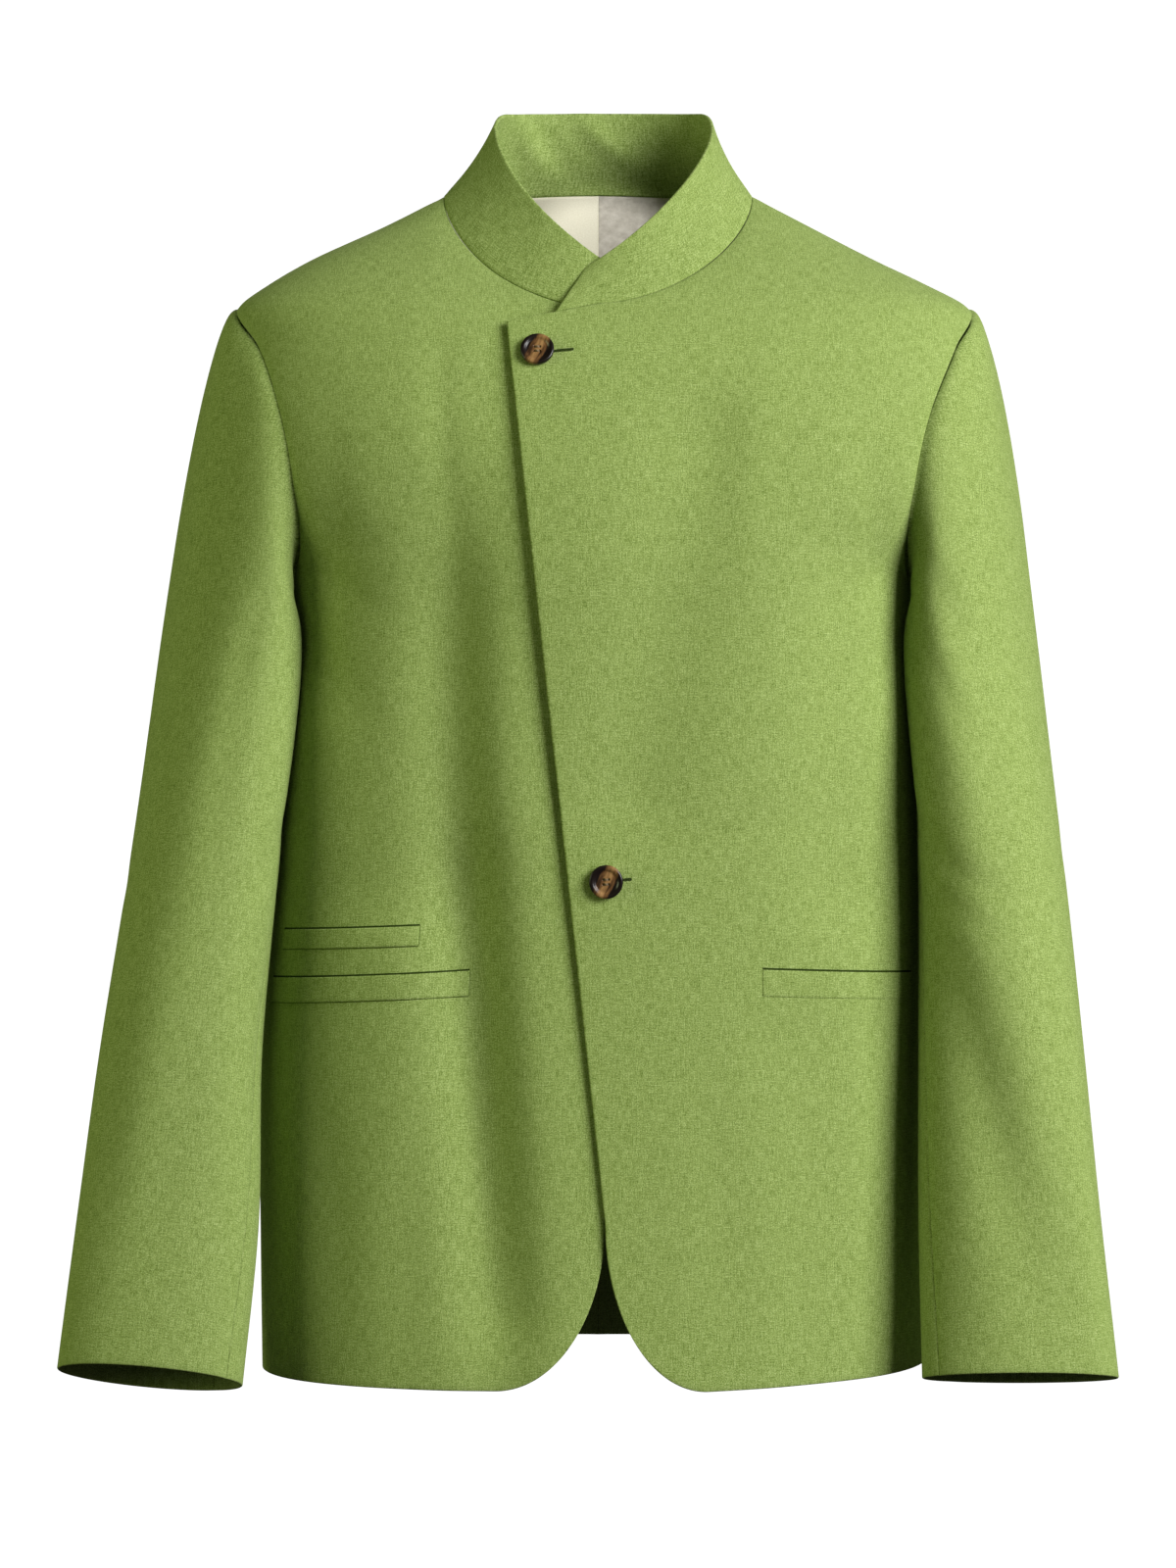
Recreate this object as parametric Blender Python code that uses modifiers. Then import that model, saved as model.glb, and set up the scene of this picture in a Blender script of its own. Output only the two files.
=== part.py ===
"""Mandarin collar blazer, hollow as worn.

Metres, +Z up; the front faces -Y and the wearer's left is +X. The origin is the middle of the neck
opening at the height where the collar meets the shoulder seams. Every cut piece is a cloth wall with a
node of its own, and neighbouring pieces stop short of each other at their seam.

A point of the body is found from a side, an angle and a height: angle 0 is the side seam and the
shoulder ridge, a quarter turn forward is the centre front, a quarter turn back is the centre back. A
place on one side is given by its distance from the middle, counted towards that side.
"""

import math
from collections import namedtuple

import bmesh
import bpy
import numpy as np
from mathutils import Vector

LEFT, RIGHT = 1, -1
SIDE_NAMES = {LEFT: "left", RIGHT: "right"}
QUARTER = math.pi / 2

# Walls and seams
BODY_WALL = 0.0020
SLEEVE_WALL = 0.0018
COLLAR_WALL = 0.0024
LINING_WALL = 0.0010
WELT_WALL = 0.0011
SEAM_GAP = 0.0003
BODY_REACH, ARMHOLE_REACH, SLEEVE_REACH = 0.15, 0.13, 0.05
COLLAR_SEAM_GAP = 0.0006
LINING_GAP = 0.0005
WELT_GAP = 0.0008

# Body: level sections from the hem to the neck
SQUARENESS = 0.12
BodyRow = namedtuple("BodyRow", "z right_width left_width front_depth back_depth")
BODY = (
    BodyRow(-0.735, 0.2055, 0.202, 0.121, 0.121),
    BodyRow(-0.640, 0.2068, 0.201, 0.118, 0.117),
    BodyRow(-0.520, 0.207, 0.199, 0.117, 0.107),
    BodyRow(-0.430, 0.200, 0.1985, 0.118, 0.101),
    BodyRow(-0.340, 0.194, 0.1970, 0.122, 0.107),
    BodyRow(-0.260, 0.188, 0.1925, 0.126, 0.116),
    BodyRow(-0.235, 0.192, 0.1950, 0.127, 0.118),
    BodyRow(-0.210, 0.202, 0.208, 0.126, 0.119),
    BodyRow(-0.180, 0.216, 0.223, 0.123, 0.119),
    BodyRow(-0.140, 0.225, 0.234, 0.115, 0.115),
    BodyRow(-0.100, 0.224, 0.235, 0.101, 0.106),
    BodyRow(-0.072, 0.221, 0.226, 0.085, 0.097),
    BodyRow(-0.058, 0.202, 0.200, 0.073, 0.091),
    BodyRow(-0.045, 0.180, 0.173, 0.061, 0.085),
    BodyRow(-0.021, 0.129, 0.127, 0.037, 0.073),
    BodyRow(-0.003, 0.095, 0.094, 0.021, 0.063),
    BodyRow(0.008, 0.076, 0.076, 0.014, 0.057),
)

# Hem, armholes and neckline
HEM_Z = -0.7210
HEM_SIDE_RISE = {LEFT: 0.0095, RIGHT: 0.0020}
HEM_BACK_RISE = 0.0078
ARMHOLE_TOP_Z = -0.072
ARMHOLE_LOW_Z = -0.248
ARMHOLE_FRONT_ANGLE = math.radians(36)
ARMHOLE_BACK_ANGLE = math.radians(38)
NECK_SIDE_Z = -0.003
NECK_DROP = 0.074
NECK_POWER = 1.75
NECK_BACK_RISE = 0.008

# Front edges: the left front laps over the right one and both swing away at the hem
EDGE_TOP_X = {LEFT: -0.055, RIGHT: -0.060}
EDGE_LOW_X = {LEFT: 0.0035, RIGHT: -0.0035}
EDGE_LOW_Z = -0.622
CUTAWAY_WIDTH = {LEFT: 0.060, RIGHT: 0.066}
LAP_SLOPE = 0.20
LAP_SINK = 0.0056
LAP_HOLLOW = 0.0020
LAP_HOLLOW_Z = -0.300
LAP_HOLLOW_SPREAD = 0.160
LAP_RAMP = 0.014
LAP_MARGIN = -0.002

# Collar: a stand band, tall behind and low at its lapped ends
COLLAR_TOP_HALF = 0.067
COLLAR_TOP_FRONT = 0.076
COLLAR_TOP_BACK = 0.053
COLLAR_TOP_SIDE_Z = 0.040
COLLAR_TOP_CORNER_RISE = 0.0078
COLLAR_TOP_BACK_RISE = 0.0065
COLLAR_TOP_DROP = 0.087
COLLAR_TOP_STRAIGHT = 0.52
COLLAR_TOP_CORNER_ANGLE = 0.45
COLLAR_TOP_SHIFT = 0.0031
COLLAR_END_BASE_X = -0.026
COLLAR_END_TOP_X = -0.011
COLLAR_SIDE_SHARE = 0.40
COLLAR_BULGE = -0.0026
COLLAR_LAP_LEAN = 1.4
COLLAR_LEAST_HEIGHT = 0.030

# Sleeves: rings from the upper arm to the cuff, the forearm swung forward
SleeveRow = namedtuple("SleeveRow", "z inner_x outer_x centre_y half_depth turn tilt roll")
SLEEVES = {
    RIGHT: (
        SleeveRow(-0.275, 0.1838, 0.2706, -0.012, 0.074, 25, 0, 2),
        SleeveRow(-0.350, 0.1890, 0.2776, -0.030, 0.068, 22, 3, 3),
        SleeveRow(-0.430, 0.1945, 0.2866, -0.046, 0.062, 20, 8, 4),
        SleeveRow(-0.520, 0.2020, 0.2986, -0.060, 0.054, 15, 13, 5),
        SleeveRow(-0.620, 0.2035, 0.3106, -0.072, 0.043, 8, 16, 5),
        SleeveRow(-0.716, 0.2120, 0.3224, -0.086, 0.033, 0, 18, 5),
    ),
    LEFT: (
        SleeveRow(-0.275, 0.1885, 0.2709, -0.012, 0.074, 23, 0, 1),
        SleeveRow(-0.350, 0.1920, 0.2762, -0.033, 0.068, 20, 3, 1),
        SleeveRow(-0.430, 0.1920, 0.2833, -0.047, 0.062, 18, 7, 1),
        SleeveRow(-0.520, 0.1915, 0.2906, -0.061, 0.054, 14, 11, 0),
        SleeveRow(-0.620, 0.1908, 0.2988, -0.076, 0.043, 8, 12, 0),
        SleeveRow(-0.716, 0.1918, 0.3087, -0.090, 0.033, 0, 12, 0),
    ),
}
CAP_ROUNDNESS = {LEFT: 0.48, RIGHT: 0.54}
CAP_SWELL = 0.022
CAP_CROWDING = 1.7
SEAM_FOLLOW_FROM, SEAM_FOLLOW_SPAN = 0.1, 0.5
FRONT_SEAM_STEP, BACK_SEAM_STEP = 2, 5
RING_TWIST = math.radians(9)

# Largest soft folds: a trough (or ridge, where the depth is below zero) from one place to another
Fold = namedtuple("Fold", "side start_x start_z end_x end_z width depth")
FOLDS = (
    Fold(LEFT, 0.062, -0.165, 0.022, -0.365, 0.034, 0.0070),
    Fold(LEFT, 0.150, -0.230, 0.140, -0.420, 0.028, 0.0040),
    Fold(LEFT, 0.120, -0.520, 0.135, -0.715, 0.030, 0.0030),
    Fold(RIGHT, 0.078, -0.420, 0.058, -0.670, 0.025, 0.0045),
    Fold(RIGHT, 0.148, -0.230, 0.138, -0.420, 0.028, 0.0040),
    Fold(RIGHT, 0.112, -0.200, 0.098, -0.430, 0.030, 0.0040),
)

# Pocket welts: strips laid on the fronts
Welt = namedtuple("Welt", "name side inner_x outer_x top_z height fall")
WELTS = (
    Welt("pocket_welt_right", RIGHT, 0.080, 0.196, -0.4738, 0.0150, 0.050),
    Welt("ticket_welt_right", RIGHT, 0.108, 0.189, -0.4470, 0.0118, 0.042),
    Welt("pocket_welt_left", LEFT, 0.0965, 0.188, -0.4725, 0.0160, 0.040),
)

# Neck lining: a back yoke of two halves that meet at the centre back
LINING_TOP_INSET = 0.0015

# Buttons
Button = namedtuple("Button", "name x z gap")
BUTTONS = (
    Button("button_top", -0.0365, -0.1070, 0.0001),
    Button("button_lower", 0.0040, -0.4205, 0.0007),
)
BUTTON_RADIUS = 0.0100
BUTTON_PROFILE = (
    (0.00, 0.0028),
    (0.62, 0.0028),
    (0.75, 0.0038),
    (0.89, 0.0040),
    (1.00, 0.0033),
    (1.00, 0.0014),
    (0.88, 0.0004),
    (0.70, 0.0000),
    (0.00, 0.0000),
)
BUTTON_STEPS = 24
HOLE_RADIUS = 0.0010
HOLE_SPACING = 0.0021
HOLE_STEPS = 8
HOLE_PIN_LENGTH, HOLE_PIN_MIDDLE = 0.020, 0.002

# How finely each piece is divided
FRONT_COLUMNS, BACK_COLUMNS = 15, 10
PanelRows = namedtuple("PanelRows", "low edge lap neck")
FRONT_ROWS = PanelRows(12, 6, 2, 8)
BACK_ROWS = PanelRows(12, 9, 0, 7)
ARMHOLE_STEPS = 16
SLEEVE_ROWS = (8, 9)
COLLAR_ROWS = 4
LINING_COLUMNS, LINING_FIRST_ROW = 5, 5
WELT_DIVISIONS = (8, 1)
CURVE_POINTS, HEM_CORNER = 60, 32
LAP_POINTS, ANGLE_SEARCH_STEPS = 20, 8

# Materials: colour (linear), roughness
MATERIALS = {
    "wool_green": ((0.262, 0.352, 0.095), 0.92),
    "lining_cream": ((0.780, 0.735, 0.560), 0.55),
    "lining_grey": ((0.390, 0.350, 0.285), 0.55),
    "horn_brown": ((0.060, 0.030, 0.012), 0.25),
}


def column(rows, name):
    """One named column of a table as an array."""
    return np.array([getattr(row, name) for row in rows])


def smooth(knots, values, at):
    """Cubic curve through the values at the knots, read at the given places."""
    slopes = np.gradient(values, knots)
    first = np.clip(np.searchsorted(knots, at) - 1, 0, len(knots) - 2)
    span = knots[first + 1] - knots[first]
    t = (at - knots[first]) / span
    start = (1 + 2 * t) * (1 - t) ** 2 * values[first] + t * (1 - t) ** 2 * span * slopes[first]
    end = t * t * (3 - 2 * t) * values[first + 1] + t * t * (t - 1) * span * slopes[first + 1]
    return start + end


def ease(t):
    """Soft step from 0 to 1."""
    t = np.clip(t, 0, 1)
    return t * t * (3 - 2 * t)


def unit(vectors):
    return vectors / np.linalg.norm(vectors, axis=-1, keepdims=True)


def body_value(name, z):
    return smooth(column(BODY, "z"), column(BODY, name), z)


def body_width(side, z):
    return body_value(SIDE_NAMES[side] + "_width", z)


def body_point(side, angle, z):
    """Point of the plain body form, before folds and laps."""
    c, s = np.cos(angle), np.sin(angle)
    depth = np.where(angle >= 0, body_value("front_depth", z), body_value("back_depth", z))
    x = side * body_width(side, z) * c * (1 + SQUARENESS * s * s)
    y = -depth * s * (1 + SQUARENESS * c * c)
    return np.stack([x, y, z + 0 * x], axis=-1)


def body_normal(side, angle, z):
    """Outward direction of the plain body form."""
    turn, lift = 1e-3, 1e-4
    across = body_point(side, angle + turn, z) - body_point(side, angle - turn, z)
    upward = body_point(side, angle, z + lift) - body_point(side, angle, z - lift)
    return side * unit(np.cross(upward, across))


def angle_at(side, x, z):
    """Angle, on the front, of the place at distance x from the middle."""
    share = np.clip(x / body_width(side, z), -1, 1)
    angle = np.arccos(share)
    for _ in range(ANGLE_SEARCH_STEPS):
        c, s = np.cos(angle), np.sin(angle)
        error = c * (1 + SQUARENESS * s * s) - share
        slope = -s * (1 + SQUARENESS * s * s) + 2 * SQUARENESS * s * c * c
        angle = angle - error / np.where(np.abs(slope) < 1e-6, -1e-6, slope)
    return angle


def edge_x(side, z):
    """Distance from the middle of a front's long edge."""
    share = (z - EDGE_LOW_Z) / (neck_z(side, EDGE_TOP_X[side]) - EDGE_LOW_Z)
    return EDGE_LOW_X[side] + (EDGE_TOP_X[side] - EDGE_LOW_X[side]) * share


def neck_z(side, x):
    """Height of the front neckline; past the middle it goes on falling towards the lap."""
    share = np.clip(x / body_width(side, NECK_SIDE_Z), 0, 1)
    drop = NECK_DROP * (1 - share**NECK_POWER) ** (1 / NECK_POWER)
    return np.where(x < 0, NECK_SIDE_Z - NECK_DROP + LAP_SLOPE * x, NECK_SIDE_Z - drop)


def fold_depth(side, x, z):
    """How far the folds move the cloth inward at a place on one side's front."""
    total = np.zeros(np.broadcast(x, z).shape)
    for fold in FOLDS:
        if fold.side != side:
            continue
        run_x, run_z = fold.end_x - fold.start_x, fold.end_z - fold.start_z
        along = ((x - fold.start_x) * run_x + (z - fold.start_z) * run_z) / (run_x**2 + run_z**2)
        along = np.clip(along, 0, 1)
        off_x, off_z = x - fold.start_x - along * run_x, z - fold.start_z - along * run_z
        total = total + fold.depth * np.exp(-(off_x**2 + off_z**2) / fold.width**2)
    return total


def lap_depth(side, x, z):
    """How far the right front goes under, where the left one laps over it."""
    if side == LEFT:
        return np.zeros(np.broadcast(x, z).shape)
    hollow = LAP_HOLLOW * np.exp(-(((z - LAP_HOLLOW_Z) / LAP_HOLLOW_SPREAD) ** 2))
    past = (x + edge_x(LEFT, z) - LAP_MARGIN) / LAP_RAMP
    return (LAP_SINK + hollow + fold_depth(LEFT, -x, z)) * (1 - ease(past))


def panel(side, angle, z):
    """Points and outward directions of a body panel's outer face, folds and lap included."""
    points, normals = body_point(side, angle, z), body_normal(side, angle, z)
    x = side * points[..., 0]
    inward = np.where(angle > 0, fold_depth(side, x, z) + lap_depth(side, x, z), 0)
    return points - normals * inward[..., None], normals


def resample(curve, count):
    """Evenly spaced points, counted in divisions, along a curve of (angle, height) places."""
    steps = np.diff(curve, axis=0) * [BODY_REACH, 1.0]
    run = np.concatenate([[0], np.cumsum(np.hypot(steps[:, 0], steps[:, 1]))])
    at = np.linspace(0, run[-1], count + 1)
    return np.stack([np.interp(at, run, curve[:, k]) for k in range(2)], axis=-1)


def joined(first, second):
    return np.concatenate([first, second[1:]])


def coons(bottom, top, left, right):
    """Grid of places between four edges; rows run from the bottom edge to the top one."""
    u = np.linspace(0, 1, len(bottom))[None, :, None]
    v = np.linspace(0, 1, len(left))[:, None, None]
    between_rows = (1 - v) * bottom[None] + v * top[None]
    between_columns = (1 - u) * left[:, None] + u * right[:, None]
    low = (1 - u) * bottom[0] + u * bottom[-1]
    high = (1 - u) * top[0] + u * top[-1]
    return between_rows + between_columns - (1 - v) * low - v * high


def seam_angle(z, depth_name):
    """Angle that leaves half a seam's gap at the side and shoulder seams."""
    return SEAM_GAP / 2 / (body_value(depth_name, z) * (1 + SQUARENESS))


def armhole(turn, inset=0.0):
    """Angle and height of the armhole at a turn: 0 underarm, a quarter in front, a half at the shoulder."""
    middle = (ARMHOLE_TOP_Z + ARMHOLE_LOW_Z) / 2
    half = (ARMHOLE_TOP_Z - ARMHOLE_LOW_Z) / 2 - inset
    swing = np.where(np.sin(turn) >= 0, ARMHOLE_FRONT_ANGLE, ARMHOLE_BACK_ANGLE) - inset / ARMHOLE_REACH
    return swing * np.sin(turn), middle - half * np.cos(turn)


def side_seam(side, facing, depth_name, count):
    z = np.linspace(HEM_Z + HEM_SIDE_RISE[side], ARMHOLE_LOW_Z, CURVE_POINTS)
    return resample(np.stack([facing * seam_angle(z, depth_name), z], axis=-1), count)


def armhole_edge(facing, depth_name, count):
    """Places of a panel along its half of the armhole, from the underarm to the shoulder."""
    angle, z = armhole(facing * np.linspace(0, math.pi, count + 1))
    return np.stack([facing * np.maximum(facing * angle, seam_angle(z, depth_name)), z], axis=-1)


def panel_places(side, hem, low_edge, high_edge, facing, depth_name, columns):
    """Grid of places: curved rows up to the underarm, then straight ones that end at the armhole."""
    seam = side_seam(side, facing, depth_name, len(low_edge) - 1)
    arm = armhole_edge(facing, depth_name, len(high_edge) - 1)
    across = np.linspace(0, 1, columns + 1)[None, :, None]
    high = (1 - across) * high_edge[:, None] + across * arm[:, None]
    low = coons(resample(hem, columns), high[0], low_edge, seam)
    return np.concatenate([low[:-1], high])


def front_places(side, columns, rows):
    """Grid of (angle, height) places that covers one front, up to its shoulder seam."""
    swing = np.linspace(0, QUARTER, CURVE_POINTS)
    away_x = EDGE_LOW_X[side] + CUTAWAY_WIDTH[side] * (1 - np.cos(swing))
    away_z = EDGE_LOW_Z - (EDGE_LOW_Z - HEM_Z) * np.sin(swing)
    swing_angle = angle_at(side, away_x[HEM_CORNER:], away_z[HEM_CORNER:])
    rest_angle = np.linspace(swing_angle[-1], seam_angle(HEM_Z, "front_depth"), CURVE_POINTS)[1:]
    rest_z = HEM_Z + HEM_SIDE_RISE[side] * np.linspace(0, 1, len(rest_angle) + 1)[1:]
    hem = np.stack([
        np.concatenate([swing_angle, rest_angle]),
        np.concatenate([away_z[HEM_CORNER:], rest_z]),
    ], axis=-1)

    long_z = np.linspace(EDGE_LOW_Z, ARMHOLE_LOW_Z, CURVE_POINTS)
    low_z = np.concatenate([away_z[HEM_CORNER::-1], long_z[1:]])
    low_x = np.concatenate([away_x[HEM_CORNER::-1], edge_x(side, long_z[1:])])
    low_edge = np.stack([angle_at(side, low_x, low_z), low_z], axis=-1)
    high_z = np.linspace(ARMHOLE_LOW_Z, float(neck_z(side, EDGE_TOP_X[side])), CURVE_POINTS)
    high_edge = np.stack([angle_at(side, edge_x(side, high_z), high_z), high_z], axis=-1)

    neck_x = body_width(side, NECK_SIDE_Z) * np.sin(np.linspace(0, QUARTER, CURVE_POINTS))
    neck_x = np.concatenate([np.linspace(EDGE_TOP_X[side], 0, LAP_POINTS)[:-1], neck_x])
    neck_height = neck_z(side, neck_x)
    neck_angle = np.maximum(angle_at(side, neck_x, neck_height), seam_angle(neck_height, "front_depth"))
    neck = np.stack([neck_angle, neck_height], axis=-1)
    neck = joined(resample(neck[:LAP_POINTS], rows.lap), resample(neck[LAP_POINTS - 1 :], rows.neck))
    high_edge = joined(resample(high_edge, rows.edge), neck)
    return panel_places(side, hem, resample(low_edge, rows.low), high_edge, 1, "front_depth", columns)


def back_neck(side, turn):
    """Angle and height of the back neckline at a plan turn: 0 at the side, a quarter at the centre back."""
    z = NECK_SIDE_Z + NECK_BACK_RISE * np.sin(turn) ** 2
    return -angle_at(side, body_width(side, NECK_SIDE_Z) * np.cos(turn), z), z


def back_places(side, columns, rows):
    """Grid of (angle, height) places that covers one half of the back, up to its shoulder seam."""
    def centre(z):
        return -(QUARTER - SEAM_GAP / 2 / (body_width(side, z) * (1 + SQUARENESS)))

    hem_angle = np.linspace(centre(HEM_Z), -seam_angle(HEM_Z, "back_depth"), CURVE_POINTS)
    middle_rise = (HEM_BACK_RISE - HEM_SIDE_RISE[side]) * np.sin(hem_angle) ** 2
    hem = np.stack([hem_angle, HEM_Z + HEM_SIDE_RISE[side] + middle_rise], axis=-1)
    low_z = np.linspace(hem[0, 1], ARMHOLE_LOW_Z, CURVE_POINTS)
    high_z = np.linspace(ARMHOLE_LOW_Z, NECK_SIDE_Z + NECK_BACK_RISE, CURVE_POINTS)
    neck_angle, neck_height = back_neck(side, np.linspace(QUARTER, 0, CURVE_POINTS))
    neck_angle = np.clip(neck_angle, centre(neck_height), -seam_angle(neck_height, "back_depth"))
    neck = resample(np.stack([neck_angle, neck_height], axis=-1), rows.neck)
    high_edge = joined(resample(np.stack([centre(high_z), high_z], axis=-1), rows.edge), neck)
    low_edge = resample(np.stack([centre(low_z), low_z], axis=-1), rows.low)
    return panel_places(side, hem, low_edge, high_edge, -1, "back_depth", columns)


def sleeve_ring(side, turn, z):
    """Point of a sleeve below its cap, at a turn round the arm and the height of the ring's middle."""
    rows = SLEEVES[side][::-1]
    read = {name: smooth(column(rows, "z"), column(rows, name), z) for name in SleeveRow._fields}
    tip, tilt, roll = (np.radians(read[name]) for name in ("turn", "tilt", "roll"))
    half = (read["outer_x"] - read["inner_x"]) / 2
    short = np.sqrt(half**2 - (read["half_depth"] * np.sin(tip)) ** 2) / np.cos(tip)
    out, back = -short * np.cos(turn), -read["half_depth"] * np.sin(turn)
    out, back = out * np.cos(tip) + back * np.sin(tip), back * np.cos(tip) - out * np.sin(tip)
    x = side * ((read["outer_x"] + read["inner_x"]) / 2 + out)
    y = read["centre_y"] + back * np.cos(tilt)
    return np.stack([x, y, z - back * np.sin(tilt) + out * np.sin(roll)], axis=-1)


def sleeve_point(side, turn, along):
    """Point of a sleeve: along runs 0 to 1 down the cap and 1 to 2 from there to the cuff."""
    rows = SLEEVES[side]
    down = np.clip(along - 1, 0, 1)
    ring = sleeve_ring(side, turn + RING_TWIST, rows[0].z + (rows[-1].z - rows[0].z) * down)
    start = body_point(side, *armhole(turn, SEAM_GAP))
    share = np.clip(along, 0, 1)[..., None]
    swell = CAP_SWELL * (1 + np.cos(turn))[..., None] * share * (1 - share) ** 2
    swell = swell * body_normal(side, *armhole(turn))
    quick = share ** CAP_ROUNDNESS[side]
    share = np.concatenate([quick, quick, share], axis=-1)
    return start + (ring - start) * share + swell


def sleeve(side, turn, along):
    """Points and outward directions of a sleeve's outer face."""
    step = 1e-3
    across = sleeve_point(side, turn + step, along) - sleeve_point(side, turn - step, along)
    onward = sleeve_point(side, turn, along + step) - sleeve_point(side, turn, np.maximum(along - step, 0))
    normals = side * unit(np.cross(onward, across))
    seam = body_normal(side, *armhole(turn))
    agree = (np.sum(seam * normals, axis=-1) - SEAM_FOLLOW_FROM) / SEAM_FOLLOW_SPAN
    follows = np.where(along < 1e-6, ease(agree), 0)[..., None]
    return sleeve_point(side, turn, along), unit(seam * follows + normals * (1 - follows))


def collar_point(place, up):
    """Point of the collar: place runs -1 to 1 from the right end round the back to the left end."""
    side = np.where(place < 0, RIGHT, LEFT)
    base, top = np.zeros(place.shape + (3,)), np.zeros(place.shape + (3,))
    share = np.abs(place)
    for each in (LEFT, RIGHT):
        behind = QUARTER * (1 - np.clip(share / COLLAR_SIDE_SHARE, 0, 1))
        ahead = np.clip((share - COLLAR_SIDE_SHARE) / (1 - COLLAR_SIDE_SHARE), 0, None)
        half = body_width(each, NECK_SIDE_Z)
        base_x = half * np.cos(ahead * math.acos(COLLAR_END_BASE_X / half))
        front_z = neck_z(each, base_x)
        back_angle, back_z = back_neck(each, behind)
        in_front = share > COLLAR_SIDE_SHARE
        angle = np.where(in_front, angle_at(each, base_x, front_z), back_angle)
        seat, outward = panel(each, angle, np.where(in_front, front_z, back_z))
        swing = ahead * math.acos(COLLAR_END_TOP_X / COLLAR_TOP_HALF)
        straight = COLLAR_TOP_STRAIGHT
        drop = COLLAR_TOP_DROP * (straight * (1 - np.cos(swing)) + (1 - straight) * np.sin(swing))
        corner = QUARTER * np.clip(behind / COLLAR_TOP_CORNER_ANGLE, 0, 1)
        rise = COLLAR_TOP_CORNER_RISE * np.sin(corner) + COLLAR_TOP_BACK_RISE * np.sin(behind)
        top_x = COLLAR_TOP_HALF * np.where(in_front, np.cos(swing), np.cos(behind))
        top_y = np.where(in_front, -COLLAR_TOP_FRONT * np.sin(swing), COLLAR_TOP_BACK * np.sin(behind))
        top_z = COLLAR_TOP_SIDE_Z + np.where(in_front, -drop, rise)
        sink = np.where(in_front, lap_depth(each, base_x, front_z), 0)
        rim = np.stack([each * top_x + COLLAR_TOP_SHIFT, top_y, top_z], axis=-1)
        rim = rim - outward * sink[..., None] * COLLAR_LAP_LEAN
        here = side == each
        base[here], top[here] = seat[here], rim[here]
    away = unit(base * [1, 1, 0])
    bulge = COLLAR_BULGE * 4 * up * (1 - up) * np.clip((1 - share) / (1 - COLLAR_SIDE_SHARE), 0, 1)
    return base + (top - base) * up[..., None] + away * bulge[..., None]


def collar(place, up):
    """Points and outward directions of the collar's outer face."""
    step = 2e-3
    across = collar_point(place + step, up) - collar_point(place - step, up)
    upward = collar_point(place, up + step) - collar_point(place, up - step)
    return collar_point(place, up), unit(np.cross(upward, across))


def grid(first, second):
    return np.meshgrid(first, second, indexing="ij")


def wall(name, outer, inner, material):
    """Closed wall between two grids of points."""
    rows, columns = outer.shape[:2]
    mesh = bmesh.new()
    faces = [[[mesh.verts.new(point) for point in row] for row in layer] for layer in (outer, inner)]
    for layer in faces:
        for i in range(rows - 1):
            for j in range(columns - 1):
                mesh.faces.new((layer[i][j], layer[i][j + 1], layer[i + 1][j + 1], layer[i + 1][j]))
    rim = [(0, j) for j in range(columns - 1)] + [(i, columns - 1) for i in range(rows - 1)]
    rim += [(rows - 1, j) for j in range(columns - 1, 0, -1)] + [(i, 0) for i in range(rows - 1, 0, -1)]
    for (i, j), (k, m) in zip(rim, rim[1:] + rim[:1]):
        mesh.faces.new((faces[0][i][j], faces[0][k][m], faces[1][k][m], faces[1][i][j]))
    bmesh.ops.recalc_face_normals(mesh, faces=mesh.faces)
    data = bpy.data.meshes.new(name)
    mesh.to_mesh(data)
    mesh.free()
    return add_part(name, data, material)


def add_part(name, data, material):
    part = bpy.data.objects.new(name, data)
    parts.objects.link(part)
    part.data.materials.append(materials[material])
    part.parent = root
    return part


def shell(name, surface, thickness, material, outset=0.0):
    """Cloth wall whose outer face is the surface, moved out by the outset."""
    points, normals = surface
    outer = points + normals * outset
    return wall(name, outer, outer - normals * thickness, material)


def make_fronts_and_backs():
    for side, name in SIDE_NAMES.items():
        places = front_places(side, FRONT_COLUMNS, FRONT_ROWS)
        shell("front_" + name, panel(side, places[..., 0], places[..., 1]), BODY_WALL, "wool_green")
        places = back_places(side, BACK_COLUMNS, BACK_ROWS)
        shell("back_" + name, panel(side, places[..., 0], places[..., 1]), BODY_WALL, "wool_green")


def make_sleeves():
    along = np.concatenate([
        np.linspace(0, 1, SLEEVE_ROWS[0] + 1) ** CAP_CROWDING,
        1 + np.linspace(0, 1, SLEEVE_ROWS[1] + 1)[1:],
    ])
    slack = SEAM_GAP / 2 / SLEEVE_REACH
    steps = np.arange(-BACK_SEAM_STEP, 2 * ARMHOLE_STEPS - BACK_SEAM_STEP + 1)
    turns = steps * math.pi / ARMHOLE_STEPS
    front_seam = BACK_SEAM_STEP + FRONT_SEAM_STEP
    cuts = {"under_sleeve_": turns[: front_seam + 1], "top_sleeve_": turns[front_seam:]}
    for side, name in SIDE_NAMES.items():
        for piece, turn in cuts.items():
            turn = np.clip(turn, turn[0] + slack, turn[-1] - slack)
            shell(piece + name, sleeve(side, *grid(turn, along)), SLEEVE_WALL, "wool_green")


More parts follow.
